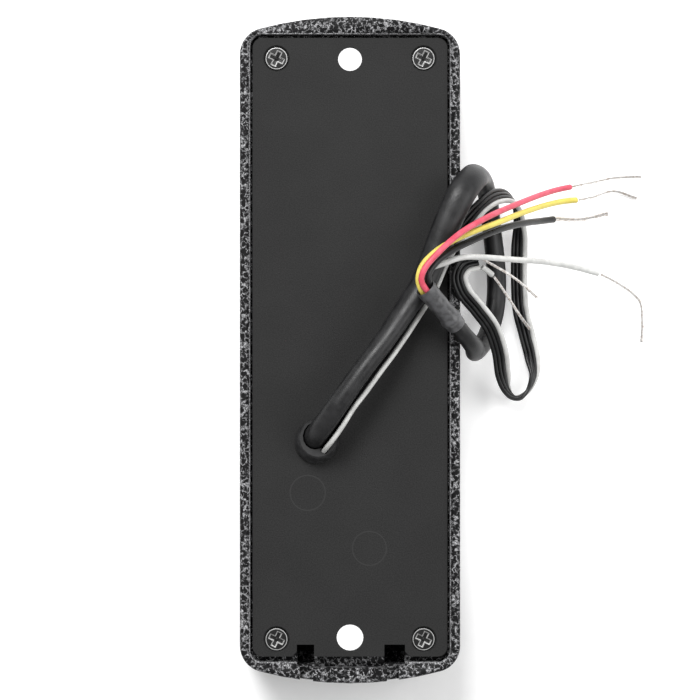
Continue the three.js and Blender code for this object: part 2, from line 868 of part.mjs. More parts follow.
// Each wire leaves the sleeve's mouth, fans out over the loop and droops to the surface.
const wireRoutes = {
  red: [
    [18.5, 11.8, 33.9], [16.7, 13.6, 35.2], [15.8, 15.6, 36.1], [16.6, 18.1, 36.3], [20, 22, 35.3],
    [24.4, 25.9, 32.6], [30.6, 29.7, 27.2], [37, 32.8, 19.4], [44.4, 36, 9.8], [48.4, 37.4, 5],
    [51.6, 38.2, 2],
  ],
  yellow: [
    [17.3, 11.6, 32.7], [15.9, 13.3, 33.8], [15.2, 15.6, 34.1], [16, 18.6, 33.8],
    [18.9, 21.8, 32.8], [23, 24.4, 31.6], [28, 26.7, 28.9], [33.6, 28.9, 23.7], [39.4, 31.4, 16.4],
    [45.4, 33.6, 8.2], [49.5, 34.7, 3.7], [53.1, 35.2, 1.4],
  ],
  black: [
    [19, 13, 32.7], [17.7, 14.6, 34], [17.3, 16.4, 34.6], [19, 19.3, 33.7], [22.8, 22.2, 31.3],
    [27.8, 24.8, 27.1], [33.6, 27.3, 21.4], [39.6, 29.1, 13.8], [44.2, 30, 6.6], [47.6, 30.6, 2.4],
  ],
  white: [
    [17.7, 12.7, 31.6], [16.3, 14.3, 32.6], [15.9, 16, 32.7], [17, 17.7, 32.2], [19, 18.7, 31.4],
    [21.4, 19.5, 30.4], [23.6, 20.4, 29.2], [26, 20.9, 27.9], [29.8, 20.9, 25.8],
    [36.8, 20.6, 20.2], [45.2, 20.3, 11.2], [52.6, 19.3, 4.2], [58.2, 18, 1.3],
  ],
};

// The bare end of each wire, twisted strands bent to lie on the surface.
const strandRoutes = {
  red: [[52.1, 38.3, 1.6], [56.8, 39.3, 0.9], [61.9, 40.4, 0.7], [68.5, 40.7, 0.6]],
  yellow: [[53.7, 35.2, 1.1], [57, 35.9, 0.8], [61.8, 37.3, 0.7], [67.4, 35.6, 0.6]],
  black: [[48.2, 30.7, 2], [54, 30.6, 1], [60.6, 32, 0.8]],
  white: [
    [58.8, 17.8, 1.1], [63.2, 15.5, 0.8], [66.6, 13.1, 0.7], [68.2, 11.2, 0.6], [68.7, 6.6, 0.6],
    [68.5, 1.8, 0.6],
  ],
};

// The flat lead follows the cable's lower right side and over the rim, then goes down to the
// surface, round in a long loop and back up to the rim. It turns over twice on the way. Each point
// has the direction that one flat face looks.
const leadRoute = [
  [[-5.5, -22.4, 15.5], [0.8, -0.6, 0]],
  [[-5.5, -22.4, 19.6], [0.8, -0.6, 0]],
  [[-5.4, -22.2, 22], [0.8, -0.6, 0]],
  [[-5.1, -21.6, 24.4], [0.8, -0.6, -0.1]],
  [[-4.4, -20.5, 26.2], [0.8, -0.6, -0.2]],
  [[-3.4, -18.9, 27.4], [0.8, -0.6, -0.3]],
  [[-2, -16.6, 28.2], [0.8, -0.6, -0.4]],
  [[0.1, -12.8, 28.5], [0.7, -0.5, -0.5]],
  [[2.7, -9, 28.2], [0.6, -0.4, -0.7]],
  [[6.1, -4.3, 27.7], [0.6, -0.4, -0.7]],
  [[9.6, 0.4, 26.7], [0.6, -0.4, -0.7]],
  [[15, 8.8, 24.9], [0.5, -0.3, -0.8]],
  [[18, 14, 23.8], [0.3, -0.1, -0.9]],
  [[20.6, 20, 23.1], [0, 0, -1]],
  [[23.6, 25.2, 23], [0, 0, -1]],
  [[27, 29.4, 22.4], [-0.1, 0.1, -1]],
  [[30.2, 33, 19.4], [-0.5, 0.1, -0.8]],
  [[33.4, 35.2, 15.4], [-0.6, -0.3, -0.7]],
  [[36.8, 35.4, 10.4], [-0.7, -0.6, -0.3]],
  [[39, 32.8, 6], [-0.8, -0.4, 0.3]],
  [[39.7, 28.4, 3], [-0.6, 0.3, 0.8]],
  [[39.6, 23, 1.4], [0, 0.1, 1]],
  [[39.6, 15.2, 1], [0, 0, 1]],
  [[40, 9.3, 1], [0, 0, 1]],
  [[41.4, 3.7, 1], [0, 0, 1]],
  [[42.7, -1.8, 1.4], [0.3, 0, 1]],
  [[43, -6.2, 2.2], [0.9, -0.3, 0.5]],
  [[41.4, -9.8, 2.4], [0.8, -0.8, 0.1]],
  [[39.2, -11.2, 3.2], [0.1, -1, -0.1]],
  [[37, -9.8, 5.4], [-0.5, -0.6, -0.7]],
  [[35.4, -5.8, 9.4], [-0.2, -0.1, -1]],
  [[34.4, -0.4, 13.8], [0, 0, -1]],
  [[32.4, 4.9, 17.4], [0, 0, -1]],
  [[29, 9.3, 20.9], [0, 0, -1]],
  [[25.6, 13.4, 23.7], [0, 0, -1]],
  [[24.7, 16.8, 24.3], [0, 0, -1]],
  [[26.2, 19.2, 24], [0, 0, -1]],
  [[29, 20, 23], [0, 0, -1]],
];

// The flat lead's own bare ends.
const leadStrandRoutes = {
  dark: [
    [29.8, 20.6, 22.9], [33.6, 18.8, 19.4], [37.8, 16.6, 12.8], [40.9, 14.6, 6.2], [43.8, 12.3, 1.4],
  ],
  pale: [[32.7, 16.7, 20.4], [34.3, 14.8, 17.4], [36.9, 11.5, 11.6], [39.6, 8, 5.6], [42, 5, 2.4]],
};
const leadStubRoute = [[29.9, 18.8, 22.5], [31, 18.1, 21.9], [32.3, 17.1, 20.8]];

/** The rubber bush that grips the plate's edge, with a short boot leaning the way the cable goes. */
function makeGrommet() {
  const neck = grommetNeckRadius;
  const rear = plateRear + clearance;
  const inner = plateInner - clearance;
  const body = join(
    turned(grommetX, grommetY, [
      [0, inner - grommetInnerFlange],
      [grommetInnerFlangeRadius, inner - grommetInnerFlange],
      [grommetInnerFlangeRadius, inner],
      [neck, inner],
      [neck, rear + 0.2],
      [0, rear + 0.2],
    ], 20),
    leaned(
      turned(grommetX, grommetY, [
        [0, rear],
        [grommetFlangeRadius, rear],
        [grommetFlangeRadius, rear + 0.8],
        [grommetMouthRadius, rear + grommetHeight - 0.4],
        [grommetMouthRadius - 0.4, rear + grommetHeight],
        [0, rear + grommetHeight],
      ], 20),
      rear,
    ),
  );
  return cut(body, cableBore(), leadBore());
}

/** The hole that the cable leaves through, which follows the cable's own curve. */
function cableBore() {
  const route = routeThrough(cableRoute);
  const sides = 16;
  const radius = (cableDiameter / 2 + clearance) / Math.cos(Math.PI / sides);
  const rings = [];
  for (let step = 0; step <= 10; step += 1) {
    const share = (step * 1.2) / route.getLength();
    rings.push([route.getPointAt(share), route.getTangentAt(share), radius]);
  }
  const bore = sweptRings(rings, sides, new THREE.Vector3(1, 0, 0));
  return bore.translate(0, 0, plateRear - routedPlateRear);
}

/** The slot beside it for the flat lead, which follows the lead's own curve. */
function leadBore() {
  const slot = new THREE.ExtrudeGeometry(flatSection(2 * clearance), {
    steps: 10,
    bevelEnabled: false,
    extrudePath: new TurnedRoute(leadRoute.slice(0, 6)),
  });
  return slot.translate(0, 0, plateRear - routedPlateRear);
}

/** The cable, which ends inside the sleeve a little short of its mouth. */
function makeCable() {
  const route = routeThrough(cableRoute);
  const stretch = new Stretch(route, 0, route.getLength() - cableEndInSleeve);
  return tube(stretch, cableDiameter, 50, 10);
}

/** The shrunk sleeve over the cable's end: a wide mouth, a ridge and a tight tail. */
function makeSleeve() {
  const route = routeThrough(cableRoute);
  const total = route.getLength();
  const steps = 10;
  const bore = cableDiameter / 2 + clearance;
  const rings = [];
  for (let step = 0; step <= steps; step += 1) {
    const share = step / steps;
    const along = (total - sleeveLength * (1 - share)) / total;
    const ridge = Math.exp(-(((share - 0.22) / 0.09) ** 2));
    const radius = sleeveRadius + (sleeveRidgeRadius - sleeveRadius) * ridge;
    rings.push([route.getPointAt(along), route.getTangentAt(along), radius + clearance]);
  }
  return cut(sweptRings(rings, 12), longTube(route, total, bore));
}

/** Round rings along a path joined into one closed body. */
function sweptRings(rings, sides, up = new THREE.Vector3(0, 0, 1)) {
  const positions = [];
  for (const [centre, tangent, radius] of rings) {
    const across = tangent.clone().cross(up).normalize();
    const over = across.clone().cross(tangent).normalize();
    for (let side = 0; side < sides; side += 1) {
      const angle = (side / sides) * 2 * Math.PI;
      const point = centre.clone();
      point.addScaledVector(across, radius * Math.cos(angle));
      point.addScaledVector(over, radius * Math.sin(angle));
      positions.push(...point.toArray());
    }
  }
  const index = [];
  for (let level = 0; level + 1 < rings.length; level += 1) {
    for (let side = 0; side < sides; side += 1) {
      const next = (side + 1) % sides;
      const [a, b] = [level * sides + side, level * sides + next];
      index.push(a, b + sides, b, a, a + sides, b + sides);
    }
  }
  const last = (rings.length - 1) * sides;
  for (let side = 1; side + 1 < sides; side += 1) {
    index.push(0, side, side + 1);
    index.push(last, last + side + 1, last + side);
  }
  const geometry = new THREE.BufferGeometry();
  geometry.setAttribute("position", new THREE.Float32BufferAttribute(positions, 3));
  geometry.setIndex(index);
  return geometry;
}

/** The end stretch of a route as a rod that runs past both ends of the sleeve. */
function longTube(route, total, radius) {
  const rings = [];
  const steps = 12;
  const back = sleeveLength + 2 * overrun;
  for (let step = 0; step <= steps; step += 1) {
    const along = (total - back * (1 - step / steps)) / total;
    rings.push([route.getPointAt(along), route.getTangentAt(along), radius]);
  }
  const [centre, tangent] = rings[steps];
  rings.push([centre.clone().addScaledVector(tangent, 2 * overrun), tangent, radius]);
  return sweptRings(rings, 12);
}

/** The flat lead's section, a bar with bevelled edges, made larger by an allowance. */
function flatSection(allowance) {
  const [halfWide, halfThick] = [(leadWidth + allowance) / 2, (leadThickness + allowance) / 2];
  const bevel = 0.25;
  return outline([
    [halfThick, -halfWide + bevel],
    [halfThick, halfWide - bevel],
    [halfThick - bevel, halfWide],
    [-halfThick + bevel, halfWide],
    [-halfThick, halfWide - bevel],
    [-halfThick, -halfWide + bevel],
    [-halfThick + bevel, -halfWide],
    [halfThick - bevel, -halfWide],
  ]);
}

/** The four-core flat lead. */
function makeFlatLead() {
  const extrudePath = new TurnedRoute(leadRoute);
  return new THREE.ExtrudeGeometry(flatSection(0), {
    steps: 56,
    bevelEnabled: false,
    extrudePath,
  });
}

// ---- Assembly -----------------------------------------------------------------------------------

const group = new THREE.Group();

function place(name, geometry, material) {
  const mesh = new THREE.Mesh(geometry, material);
  mesh.name = name;
  group.add(mesh);
}

place("case", makeCase(), hammeredPaint());
place("back_plate", makeBackPlate(), blackPlastic());
place("back_gasket", makeBackGasket(), blackRubber());
for (const [corner, x, y] of screwPlaces()) {
  place(`plate_screw_${corner}`, makePlateScrew(x, y), darkNickel());
}

place("reader_window", makeWindow(), blackGloss());
place("window_seal", makeWindowSeal(), blackRubber());
place("light_guide", makeLightGuide(), clearPlastic());
place("button_cap", makeButtonCap(), brightSteel());
place("button_seal", makeButtonSeal(), blackRubber());
place("button_spring", makeButtonSpring(), brightSteel());
place("switch_plunger", makeSwitchPlunger(), paleNylon());
place("switch_body", makeSwitchBody(), blackEpoxy());

place("circuit_board", makeBoard(), greenLaminate());
for (const [corner, x, y] of postPlaces()) {
  place(`board_screw_${corner}`, makeBoardScrew(x, y), brightSteel());
}
place("antenna_coil", makeAntennaCoil(), enamelCopper());
place("controller_chip", makeChip(4, 12, 7, 7, 1), blackEpoxy());
place("reader_chip", makeChip(-6, 26, 6, 10, 1.6), blackEpoxy());
place("voltage_regulator", makeChip(9, -8, 5, 6.5, 2), blackEpoxy());
place("crystal", makeChip(-8, 9, 4.6, 11, 3), brightSteel());
place("capacitor", makeCapacitor(10, -22), brightSteel());
place("sounder", makeSounder(6, 34), blackEpoxy());
for (const [side, x] of [["left", -4.5], ["middle", 0], ["right", 4.5]]) {
  place(`status_light_${side}`, makeStatusLight(x), clearPlastic());
}
place("cable_header", makeHeader(-8, -38, 4), paleNylon());
place("cable_plug", makePlug(-8, -38, 4), paleNylon());
place("lead_header", makeHeader(6, -38, 4), paleNylon());
place("lead_plug", makePlug(6, -38, 4), paleNylon());

place("cable_grommet", makeGrommet(), blackRubber());
place("main_cable", makeCable(), blackRubber());
place("shrink_sleeve", makeSleeve(), greySleeve());
place("flat_lead", makeFlatLead(), insulation(0x1d1d1e));

const wireColours = { red: 0xd65568, yellow: 0xdfcf66, black: 0x202021, white: 0xe4e4e4 };
for (const [name, color] of Object.entries(wireColours)) {
  const heavy = name === "black";
  const wire = tube(wireRoutes[name], heavy ? blackWireDiameter : wireDiameter, 20);
  const strand = tube(strandRoutes[name], heavy ? heavyStrandDiameter : strandDiameter, 9);
  place(`${name}_wire`, wire, insulation(color));
  place(`${name}_wire_strands`, strand, tinnedCopper());
}
for (const [name, route] of Object.entries(leadStrandRoutes)) {
  place(`lead_strands_${name}`, tube(route, strandDiameter, 8), tinnedCopper());
}
place("lead_stub", tube(leadStubRoute, stubDiameter, 3), insulation(0xe4e4e4));

export default group;
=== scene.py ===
"""A slim wall-mounted card reader, lying on its front with its cable looped beside it."""

import bmesh
import bpy
import numpy as np
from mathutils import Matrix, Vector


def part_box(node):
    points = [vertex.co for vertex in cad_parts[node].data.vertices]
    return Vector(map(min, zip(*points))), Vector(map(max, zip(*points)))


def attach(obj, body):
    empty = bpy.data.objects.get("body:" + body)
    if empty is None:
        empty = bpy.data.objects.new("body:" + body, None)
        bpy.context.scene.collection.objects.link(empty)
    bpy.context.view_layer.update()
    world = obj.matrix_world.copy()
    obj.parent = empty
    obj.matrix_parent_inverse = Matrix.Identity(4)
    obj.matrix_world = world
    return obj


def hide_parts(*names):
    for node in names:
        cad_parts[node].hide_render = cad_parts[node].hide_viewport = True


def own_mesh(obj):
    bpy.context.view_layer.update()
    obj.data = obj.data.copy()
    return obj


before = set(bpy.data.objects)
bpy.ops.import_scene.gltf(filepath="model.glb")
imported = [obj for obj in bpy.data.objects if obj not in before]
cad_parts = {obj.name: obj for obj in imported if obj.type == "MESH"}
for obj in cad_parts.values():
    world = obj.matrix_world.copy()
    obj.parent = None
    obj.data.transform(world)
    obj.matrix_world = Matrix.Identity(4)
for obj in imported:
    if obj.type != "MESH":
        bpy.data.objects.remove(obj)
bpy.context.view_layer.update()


# ---- Viewpoint, light and table -------------------------------------------------------------
# The camera hangs straight over the reader, 600 mm above its back plate. The table is a lit white
# sheet, so that it also shows through the fixing holes, under a wide soft light and a fill.

def new_object(name, data, place=(0, 0, 0), turn=(0, 0, 0)):
    """Puts an object of that data in the scene."""
    made = bpy.data.objects.new(name, data)
    made.location = place
    made.rotation_euler = turn
    bpy.context.scene.collection.objects.link(made)
    return made


camera_height = 0.6214

bpy.context.scene.view_settings.view_transform = "Standard"
lens = bpy.data.cameras.new("camera")
lens.lens = 135.9
lens.sensor_width = 36
bpy.context.scene.camera = new_object("camera", lens, (0, 0, camera_height))


def softbox(name, width, power, place, turn):
    """A square area light of that width and power, aimed by its turn."""
    light = bpy.data.lights.new(name, "AREA")
    light.size = width
    light.energy = power
    return new_object(name, light, place, turn)


softbox("key_light", width=0.42, power=10.5, place=(-0.2, 0.56, 0.72),
        turn=(np.radians(-38), np.radians(-15), 0))
softbox("fill_light", width=0.6, power=4.0, place=(0.65, 0.1, 0.6),
        turn=(0, np.radians(47), 0))

room = bpy.data.worlds.new("room")
room.use_nodes = True
room.node_tree.nodes["Background"].inputs["Color"].default_value = (1, 1, 1, 1)
room.node_tree.nodes["Background"].inputs["Strength"].default_value = 0.6
bpy.context.scene.world = room


# ---- Main cable -------------------------------------------------------------------------------
# Four cores in an extruded black PVC jacket. It leaves the outlet, crosses the plate, loops down
# beside the case and back, and ends inside the sleeve. The jacket flattens to an oval where it
# bends hardest, so it is widest at the top of the loop.

def smooth_line(points, gap, samples=40):
    """Stations about a gap apart on a centripetal Catmull-Rom curve, and where each lies.

    Between two points the curve is the cubic whose slopes at both ends come from the neighbouring
    points, each chord weighted by the square root of its length. It is sampled that many times
    between two points. A place is counted in points.
    """
    points = np.asarray(points, float)
    chain = np.vstack([2 * points[0] - points[1], points, 2 * points[-1] - points[-2]])
    chord = np.linalg.norm(np.diff(chain, axis=0), axis=1)[:, None] ** 0.5
    before, here, after = chord[:-2], chord[1:-1], chord[2:]
    p, q, r, s = chain[:-3], chain[1:-2], chain[2:-1], chain[3:]
    leave = ((q - p) / before - (r - p) / (before + here) + (r - q) / here) * here
    arrive = ((r - q) / here - (s - q) / (here + after) + (s - r) / after) * here
    share = np.linspace(0, 1, samples, endpoint=False)
    t = share[None, :, None]
    q, r, leave, arrive = (each[:, None] for each in (q, r, leave, arrive))
    curve = q + leave * t + (3 * (r - q) - 2 * leave - arrive) * t**2
    curve = curve + (2 * (q - r) + leave + arrive) * t**3
    curve = np.vstack([curve.reshape(-1, 3), points[-1:]])
    place = np.append((np.arange(len(points) - 1)[:, None] + share).ravel(), len(points) - 1)
    run = np.append(0, np.cumsum(np.linalg.norm(np.diff(curve, axis=0), axis=1)))
    stops = np.linspace(0, run[-1], max(3, round(run[-1] / gap) + 1))
    line = np.column_stack([np.interp(stops, run, curve[:, axis]) for axis in range(3)])
    return line, np.interp(stops, run, place)


def unit(vectors):
    """Each row at length 1."""
    return vectors / np.linalg.norm(vectors, axis=-1, keepdims=True)


def squared_up(line, facing):
    """The directions over and across a line: over is facing made square to the line, and across
    is the line's own direction crossed with it."""
    along = unit(np.gradient(line, axis=0))
    over = unit(facing - (facing * along).sum(1, keepdims=True) * along)
    return over, np.cross(along, over)


def untwisted(line, start=(0.31, 0.2, 0.93)):
    """A facing direction for a round cord: the last one made square to the line at each step."""
    along = unit(np.gradient(line, axis=0))
    facing = [np.array(start)]
    for step in along:
        last = facing[-1] - facing[-1] @ step * step
        facing.append(last / np.linalg.norm(last))
    return np.array(facing[1:])


def swept(line, over, across, section):
    """The grid whose point (i, j) is line i, plus section j's first number times over i, plus its
    second times across i. A section may be one outline or one for each line point."""
    section = np.broadcast_to(section, (len(line), *np.shape(section)[-2:]))
    return line[:, None] + section[..., :1] * over[:, None] + section[..., 1:] * across[:, None]


def oval(first, second, sides):
    """An ellipse from its two half widths, which may be numbers or one each per line point."""
    turn = np.linspace(0, 2 * np.pi, sides, endpoint=False)
    first, second = (np.atleast_1d(each)[:, None] for each in (first, second))
    return np.stack([first * np.cos(turn), second * np.sin(turn)], axis=-1)


def shell(grid, looped=False):
    """A grid closed round its columns. Its two end rows get a fan to their middle, or are joined
    to each other when looped. Faces that would point inwards are turned over."""
    rows, columns = grid.shape[:2]
    points = grid.reshape(-1, 3)
    row, column = np.meshgrid(
        np.arange(rows if looped else rows - 1), np.arange(columns), indexing="ij"
    )
    below, right = (row + 1) % rows * columns, (column + 1) % columns
    row = row * columns
    quads = np.stack([row + column, row + right, below + right, below + column], -1)
    faces = quads.reshape(-1, 4).tolist()
    if not looped:
        column = np.arange(columns)
        first, last = np.full(columns, len(points)), np.full(columns, len(points) + 1)
        end = (rows - 1) * columns
        points = np.vstack([points, grid[0].mean(0), grid[-1].mean(0)])
        faces += np.column_stack([first, (column + 1) % columns, column]).tolist()
        faces += np.column_stack([last, end + column, end + (column + 1) % columns]).tolist()
    a, b, c = (points[[face[k] for face in faces]] for k in range(3))
    d = points[[face[-1] for face in faces]]
    volume = (np.cross(a, b) * c).sum() + (np.cross(a, c) * d).sum()
    return points, faces if volume > 0 else [face[::-1] for face in faces]


def new_piece(name, shells, *finishes, body="housing", smooth=40):
    """One mesh object made of closed shells, riding on a body. The first shell takes the first
    finish and so on, and the last finish covers the rest. Edges over smooth degrees stay sharp."""
    points, faces, finish_of = [], [], []
    for number, (shell_points, shell_faces) in enumerate(shells):
        start = sum(len(each) for each in points)
        points.append(shell_points)
        faces += [[start + corner for corner in face] for face in shell_faces]
        finish_of += [min(number, len(finishes) - 1)] * len(shell_faces)
    mesh = bpy.data.meshes.new(name)
    mesh.from_pydata(np.vstack(points), [], faces)
    mesh.shade_smooth()
    mesh.set_sharp_from_angle(angle=np.radians(smooth))
    for finish in finishes:
        mesh.materials.append(finish.material)
    mesh.polygons.foreach_set("material_index", finish_of)
    made = new_object(name, mesh)
    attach(made, body)
    return made


def tone(red, green, blue):
    """A display colour from 0 to 255 as the linear colour that a shader takes."""
    share = np.array([red, green, blue]) / 255
    linear = np.where(share > 0.04045, ((share + 0.055) / 1.055) ** 2.4, share / 12.92)
    return (*linear.tolist(), 1)


class Reading:
    """A number or colour that varies over a surface, from one node of a finish. The signs
    + - * / between readings and plain numbers, on either side, add a Math node."""

    def __init__(self, finish, socket):
        self.finish = finish
        self.socket = socket

    def maths(self, operation, first, second):
        return self.finish.maths(operation, first, second)

    def __add__(self, other):
        return self.maths("ADD", self, other)

    def __radd__(self, other):
        return self.maths("ADD", other, self)

    def __sub__(self, other):
        return self.maths("SUBTRACT", self, other)

    def __rsub__(self, other):
        return self.maths("SUBTRACT", other, self)

    def __mul__(self, other):
        return self.maths("MULTIPLY", self, other)

    def __rmul__(self, other):
        return self.maths("MULTIPLY", other, self)

    def __truediv__(self, other):
        return self.maths("DIVIDE", self, other)

    def __rtruediv__(self, other):
        return self.maths("DIVIDE", other, self)


class Finish:
    """A material being mixed. Its fixed shader values are given by socket name."""

    def __init__(self, name, fixed):
        self.material = bpy.data.materials.new(name)
        self.material.use_nodes = True
        self.tree = self.material.node_tree
        self.shader = self.tree.nodes["Principled BSDF"]
        for socket, value in fixed.items():
            self.shader.inputs[socket].default_value = value
        self.place = self.node("TexCoord", {}, {}, "Object")

    def node(self, kind, settings, inputs, output=0):
        """Adds a node: its settings first, then each input's value or link."""
        made = self.tree.nodes.new("ShaderNode" + kind)
        for name, value in settings.items():
            setattr(made, name, value)
        for name, value in inputs.items():
            self.join(value, made.inputs[name])
        return Reading(self, made.outputs[output])

    def join(self, value, socket):
        """Sets a socket, or links a reading to it."""
        if isinstance(value, Reading):
            self.tree.links.new(value.socket, socket)
        else:
            socket.default_value = value

    def maths(self, operation, first, second):
        """A Math node of two numbers."""
        return self.node("Math", {"operation": operation}, {0: first, 1: second})

    def grain(self, scale, detail, place=None):
        """Noise from 0 to 1 with that many blotches to the metre."""
        inputs = {"Vector": place or self.place, "Scale": scale, "Detail": detail}
        return self.node("TexNoise", {}, inputs)

    def ramp(self, reading, low, high, first=0.0, last=1.0):
        """first below low, last above high and an even curve between."""
        limits = {"From Min": low, "From Max": high, "To Min": first, "To Max": last}
        settings = {"interpolation_type": "SMOOTHSTEP"}
        return self.node("MapRange", settings, {"Value": reading, **limits})

    def tinted(self, mask, first, second):
        """The first colour where the mask is 0 and the second where it is 1."""
        inputs = {0: mask, 6: first, 7: second}
        return self.node("Mix", {"data_type": "RGBA"}, inputs, 2)

    def wear(self, **readings):
        """Links readings to the shader. Bump takes (height, its depth in metres)."""
        for name, reading in readings.items():
            if name == "bump":
                height, depth = reading
                inputs = {"Height": height, "Distance": depth, "Strength": 1.0}
                reading, name = self.node("Bump", {}, inputs), "normal"
            self.join(reading, self.shader.inputs[name.replace("_", " ").title()])
        return self


def jacket_finish(name, dark, light, roughness):
    """Soft plastic round a cord: faint lengthwise mottling and a fine orange peel."""
    finish = Finish(name, {"IOR": 1.38})
    mottle = finish.grain(420, 4)
    peel = finish.grain(2600, 2)
    return finish.wear(
        base_color=finish.tinted(finish.ramp(mottle, 0.35, 0.65), dark, light),
        roughness=finish.ramp(mottle, 0.3, 0.7, roughness - 0.05, roughness + 0.07),
        bump=(peel + 0.6 * mottle, 0.00003),
    )


cable_jacket = jacket_finish("cable_jacket", tone(19, 19, 20), tone(29, 29, 30), 0.42)

# Each point, in millimetres, has the way that the jacket's narrow side looks.
cable_stations = [
    [(-8.2, -20.4, 15.5), (-0.8, 0.6, 0)],
    [(-8.2, -20.4, 19.6), (-0.8, 0.6, 0)],
    [(-8.1, -20.2, 22), (-0.8, 0.6, 0)],
    [(-7.8, -19.6, 24.4), (-0.8, 0.6, 0.1)],
    [(-7.2, -18.6, 26.5), (-0.8, 0.5, 0.2)],
    [(-6.3, -17.3, 28.3), (-0.8, 0.5, 0.3)],
    [(-5, -15.5, 29.7), (-0.7, 0.5, 0.5)],
    [(-3.3, -13, 30.6), (-0.7, 0.5, 0.5)],
    [(-1.2, -10, 30.9), (-0.7, 0.5, 0.5)],
    [(1.6, -6, 30.8), (-0.7, 0.5, 0.5)],
    [(4.6, -2, 30.3), (-0.7, 0.5, 0.55)],
    [(7.7, 2.1, 29.5), (-0.6, 0.5, 0.6)],
    [(13.1, 10.1, 27.9), (-0.5, 0.4, 0.8)],
    [(16.4, 14.9, 27.3), (-0.3, 0.2, 0.9)],
    [(19.2, 21.6, 27), (-0.1, 0.1, 1)],
    [(22.4, 29.6, 27), (0, 0.1, 1)],
    [(25.3, 35.6, 26.3), (0.2, 0.5, 0.9)],
    [(27.8, 38.9, 22.8), (0.5, 0.8, 0.6)],
    [(29.4, 39.9, 16.8), (0.6, 0.8, 0.2)],
    [(31, 38.2, 10.4), (0.7, 0.6, 0.1)],
    [(32.4, 34.2, 5.3), (0.8, 0.3, 0.3)],
    [(33.2, 28, 3.2), (0.8, 0.1, 0.5)],
    [(34, 21, 2.9), (0.8, 0, 0.6)],
    [(34.3, 14.5, 3), (0.8, 0, 0.6)],
    [(33.7, 8.6, 4.2), (0.8, -0.1, 0.6)],
    [(32, 3.6, 7.4), (0.8, -0.3, 0.5)],
    [(30, 0.7, 12.2), (0.8, -0.4, 0.3)],
    [(28.6, -0.2, 17.6), (0.9, -0.3, 0.1)],
    [(28.2, 0.6, 22.2), (0.9, 0, 0.1)],
    [(26.4, 2.6, 25.8), (0.8, 0.4, 0)],
    [(23.3, 6.2, 28.6), (0.7, 0.7, 0)],
    [(20, 10, 31.4), (0.7, 0.7, 0)],
    [(16.7, 13.8, 33.9), (0.7, 0.7, 0)],
]
cable_gap = 0.0006
cable_end_in_sleeve = 0.003
ripple_height, ripple_turn = 0.00003, 90

# The jacket's half widths, in millimetres, each at a place counted in points.
narrow_halves = ([0, 5, 9, 28, 29.2], [2.56, 2.5, 2.2, 2.15, 1.9])
wide_halves = ([0, 10, 13, 16, 18, 21, 25, 28, 29.2],
               [2.6, 2.45, 2.95, 3.3, 3.1, 2.5, 2.5, 2.35, 1.92])

cable_points = np.array([point for point, _ in cable_stations]) / 1000
cable_facings = np.array([facing for _, facing in cable_stations], float)
cable_line, cable_places = smooth_line(cable_points, cable_gap)


def facing_at(places, facings):
    """Each place's facing direction, evenly between those of the points on its two sides."""
    points = np.arange(len(facings))
    return np.column_stack([np.interp(places, points, facings[:, axis]) for axis in range(3)])


cable_over, cable_across = squared_up(cable_line, facing_at(cable_places, cable_facings))
jacket_stop = len(cable_line) - round(cable_end_in_sleeve / cable_gap)
along_jacket = np.arange(jacket_stop) * cable_gap
narrow = np.interp(cable_places[:jacket_stop], *narrow_halves) / 1000
narrow = narrow + ripple_height * np.sin(along_jacket * ripple_turn)
wide = np.interp(cable_places[:jacket_stop], *wide_halves) / 1000
narrow = np.minimum(narrow, wide)
main_cable = new_piece(
    "main_cable_jacket",
    [shell(swept(cable_line[:jacket_stop], cable_over[:jacket_stop],
                 cable_across[:jacket_stop], oval(narrow, wide, 28)))],
    cable_jacket,
)
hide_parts("main_cable")


# ---- Shrink sleeve ----------------------------------------------------------------------------
# A short grey heat-shrink sleeve over the jacket's cut end. It has drawn down tight, with one
# raised ring near its tail and an open mouth, slightly flared, that the four wires come out of.

sleeve_length = 0.0135
sleeve_radius = 0.0022
sleeve_ridge = 0.0004
sleeve_wall = 0.00015
sleeve_ripple = 0.00004
mouth_flare = 0.00022
lip_rounding = 0.00006
ridge_place, ridge_width = 0.2, 0.07


def revolved(line, over, across, profile, sides=40):
    """A round wall along a line. A profile row is (place along the line from 0 to 1, radius), and
    its last row joins its first, so the wall has an outside and an inside."""
    places = profile[:, 0] * (len(line) - 1)
    index = np.arange(len(line))
    at = [np.column_stack([np.interp(places, index, part[:, axis]) for axis in range(3)])
          for part in (line, over, across)]
    return swept(*at, oval(profile[:, 1], profile[:, 1], sides))


sleeve_from = len(cable_line) - round(sleeve_length / cable_gap)
share = np.linspace(0, 1, 60)
outside = sleeve_radius + sleeve_ridge * np.exp(-(((share - ridge_place) / ridge_width) ** 2))
outside = outside + sleeve_ripple * np.sin(share * 23) + mouth_flare * share**6
inside = outside - sleeve_wall
outside[[0, -1]] -= lip_rounding
sleeve_profile = np.vstack([np.column_stack([share, outside]),
                            np.column_stack([share, inside])[::-1]])
sleeve_finish = Finish("sleeve_plastic", {"IOR": 1.5})
mottle = sleeve_finish.grain(700, 2)
sleeve_finish.wear(
    base_color=sleeve_finish.tinted(sleeve_finish.ramp(mottle, 0.36, 0.62),
                                    tone(54, 54, 55), tone(72, 72, 74)),
    roughness=sleeve_finish.ramp(mottle, 0.3, 0.7, 0.3, 0.46),
    bump=(mottle, 0.00003),
)
shrink_sleeve = new_piece(
    "shrink_sleeve_grey",
    [shell(revolved(cable_line[sleeve_from:], cable_over[sleeve_from:],
                    cable_across[sleeve_from:], sleeve_profile), looped=True)],
    sleeve_finish,
)
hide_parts("shrink_sleeve")


def run_length(line):
    """How long a line is."""
    return float(np.linalg.norm(np.diff(line, axis=0), axis=1).sum())


# ---- Flat lead --------------------------------------------------------------------------------
# Four parallel cores in one ribbed PVC ribbon, three black and one white. It leaves the outlet
# beside the cable, passes under it, loops down to the table and half twists twice on its way.

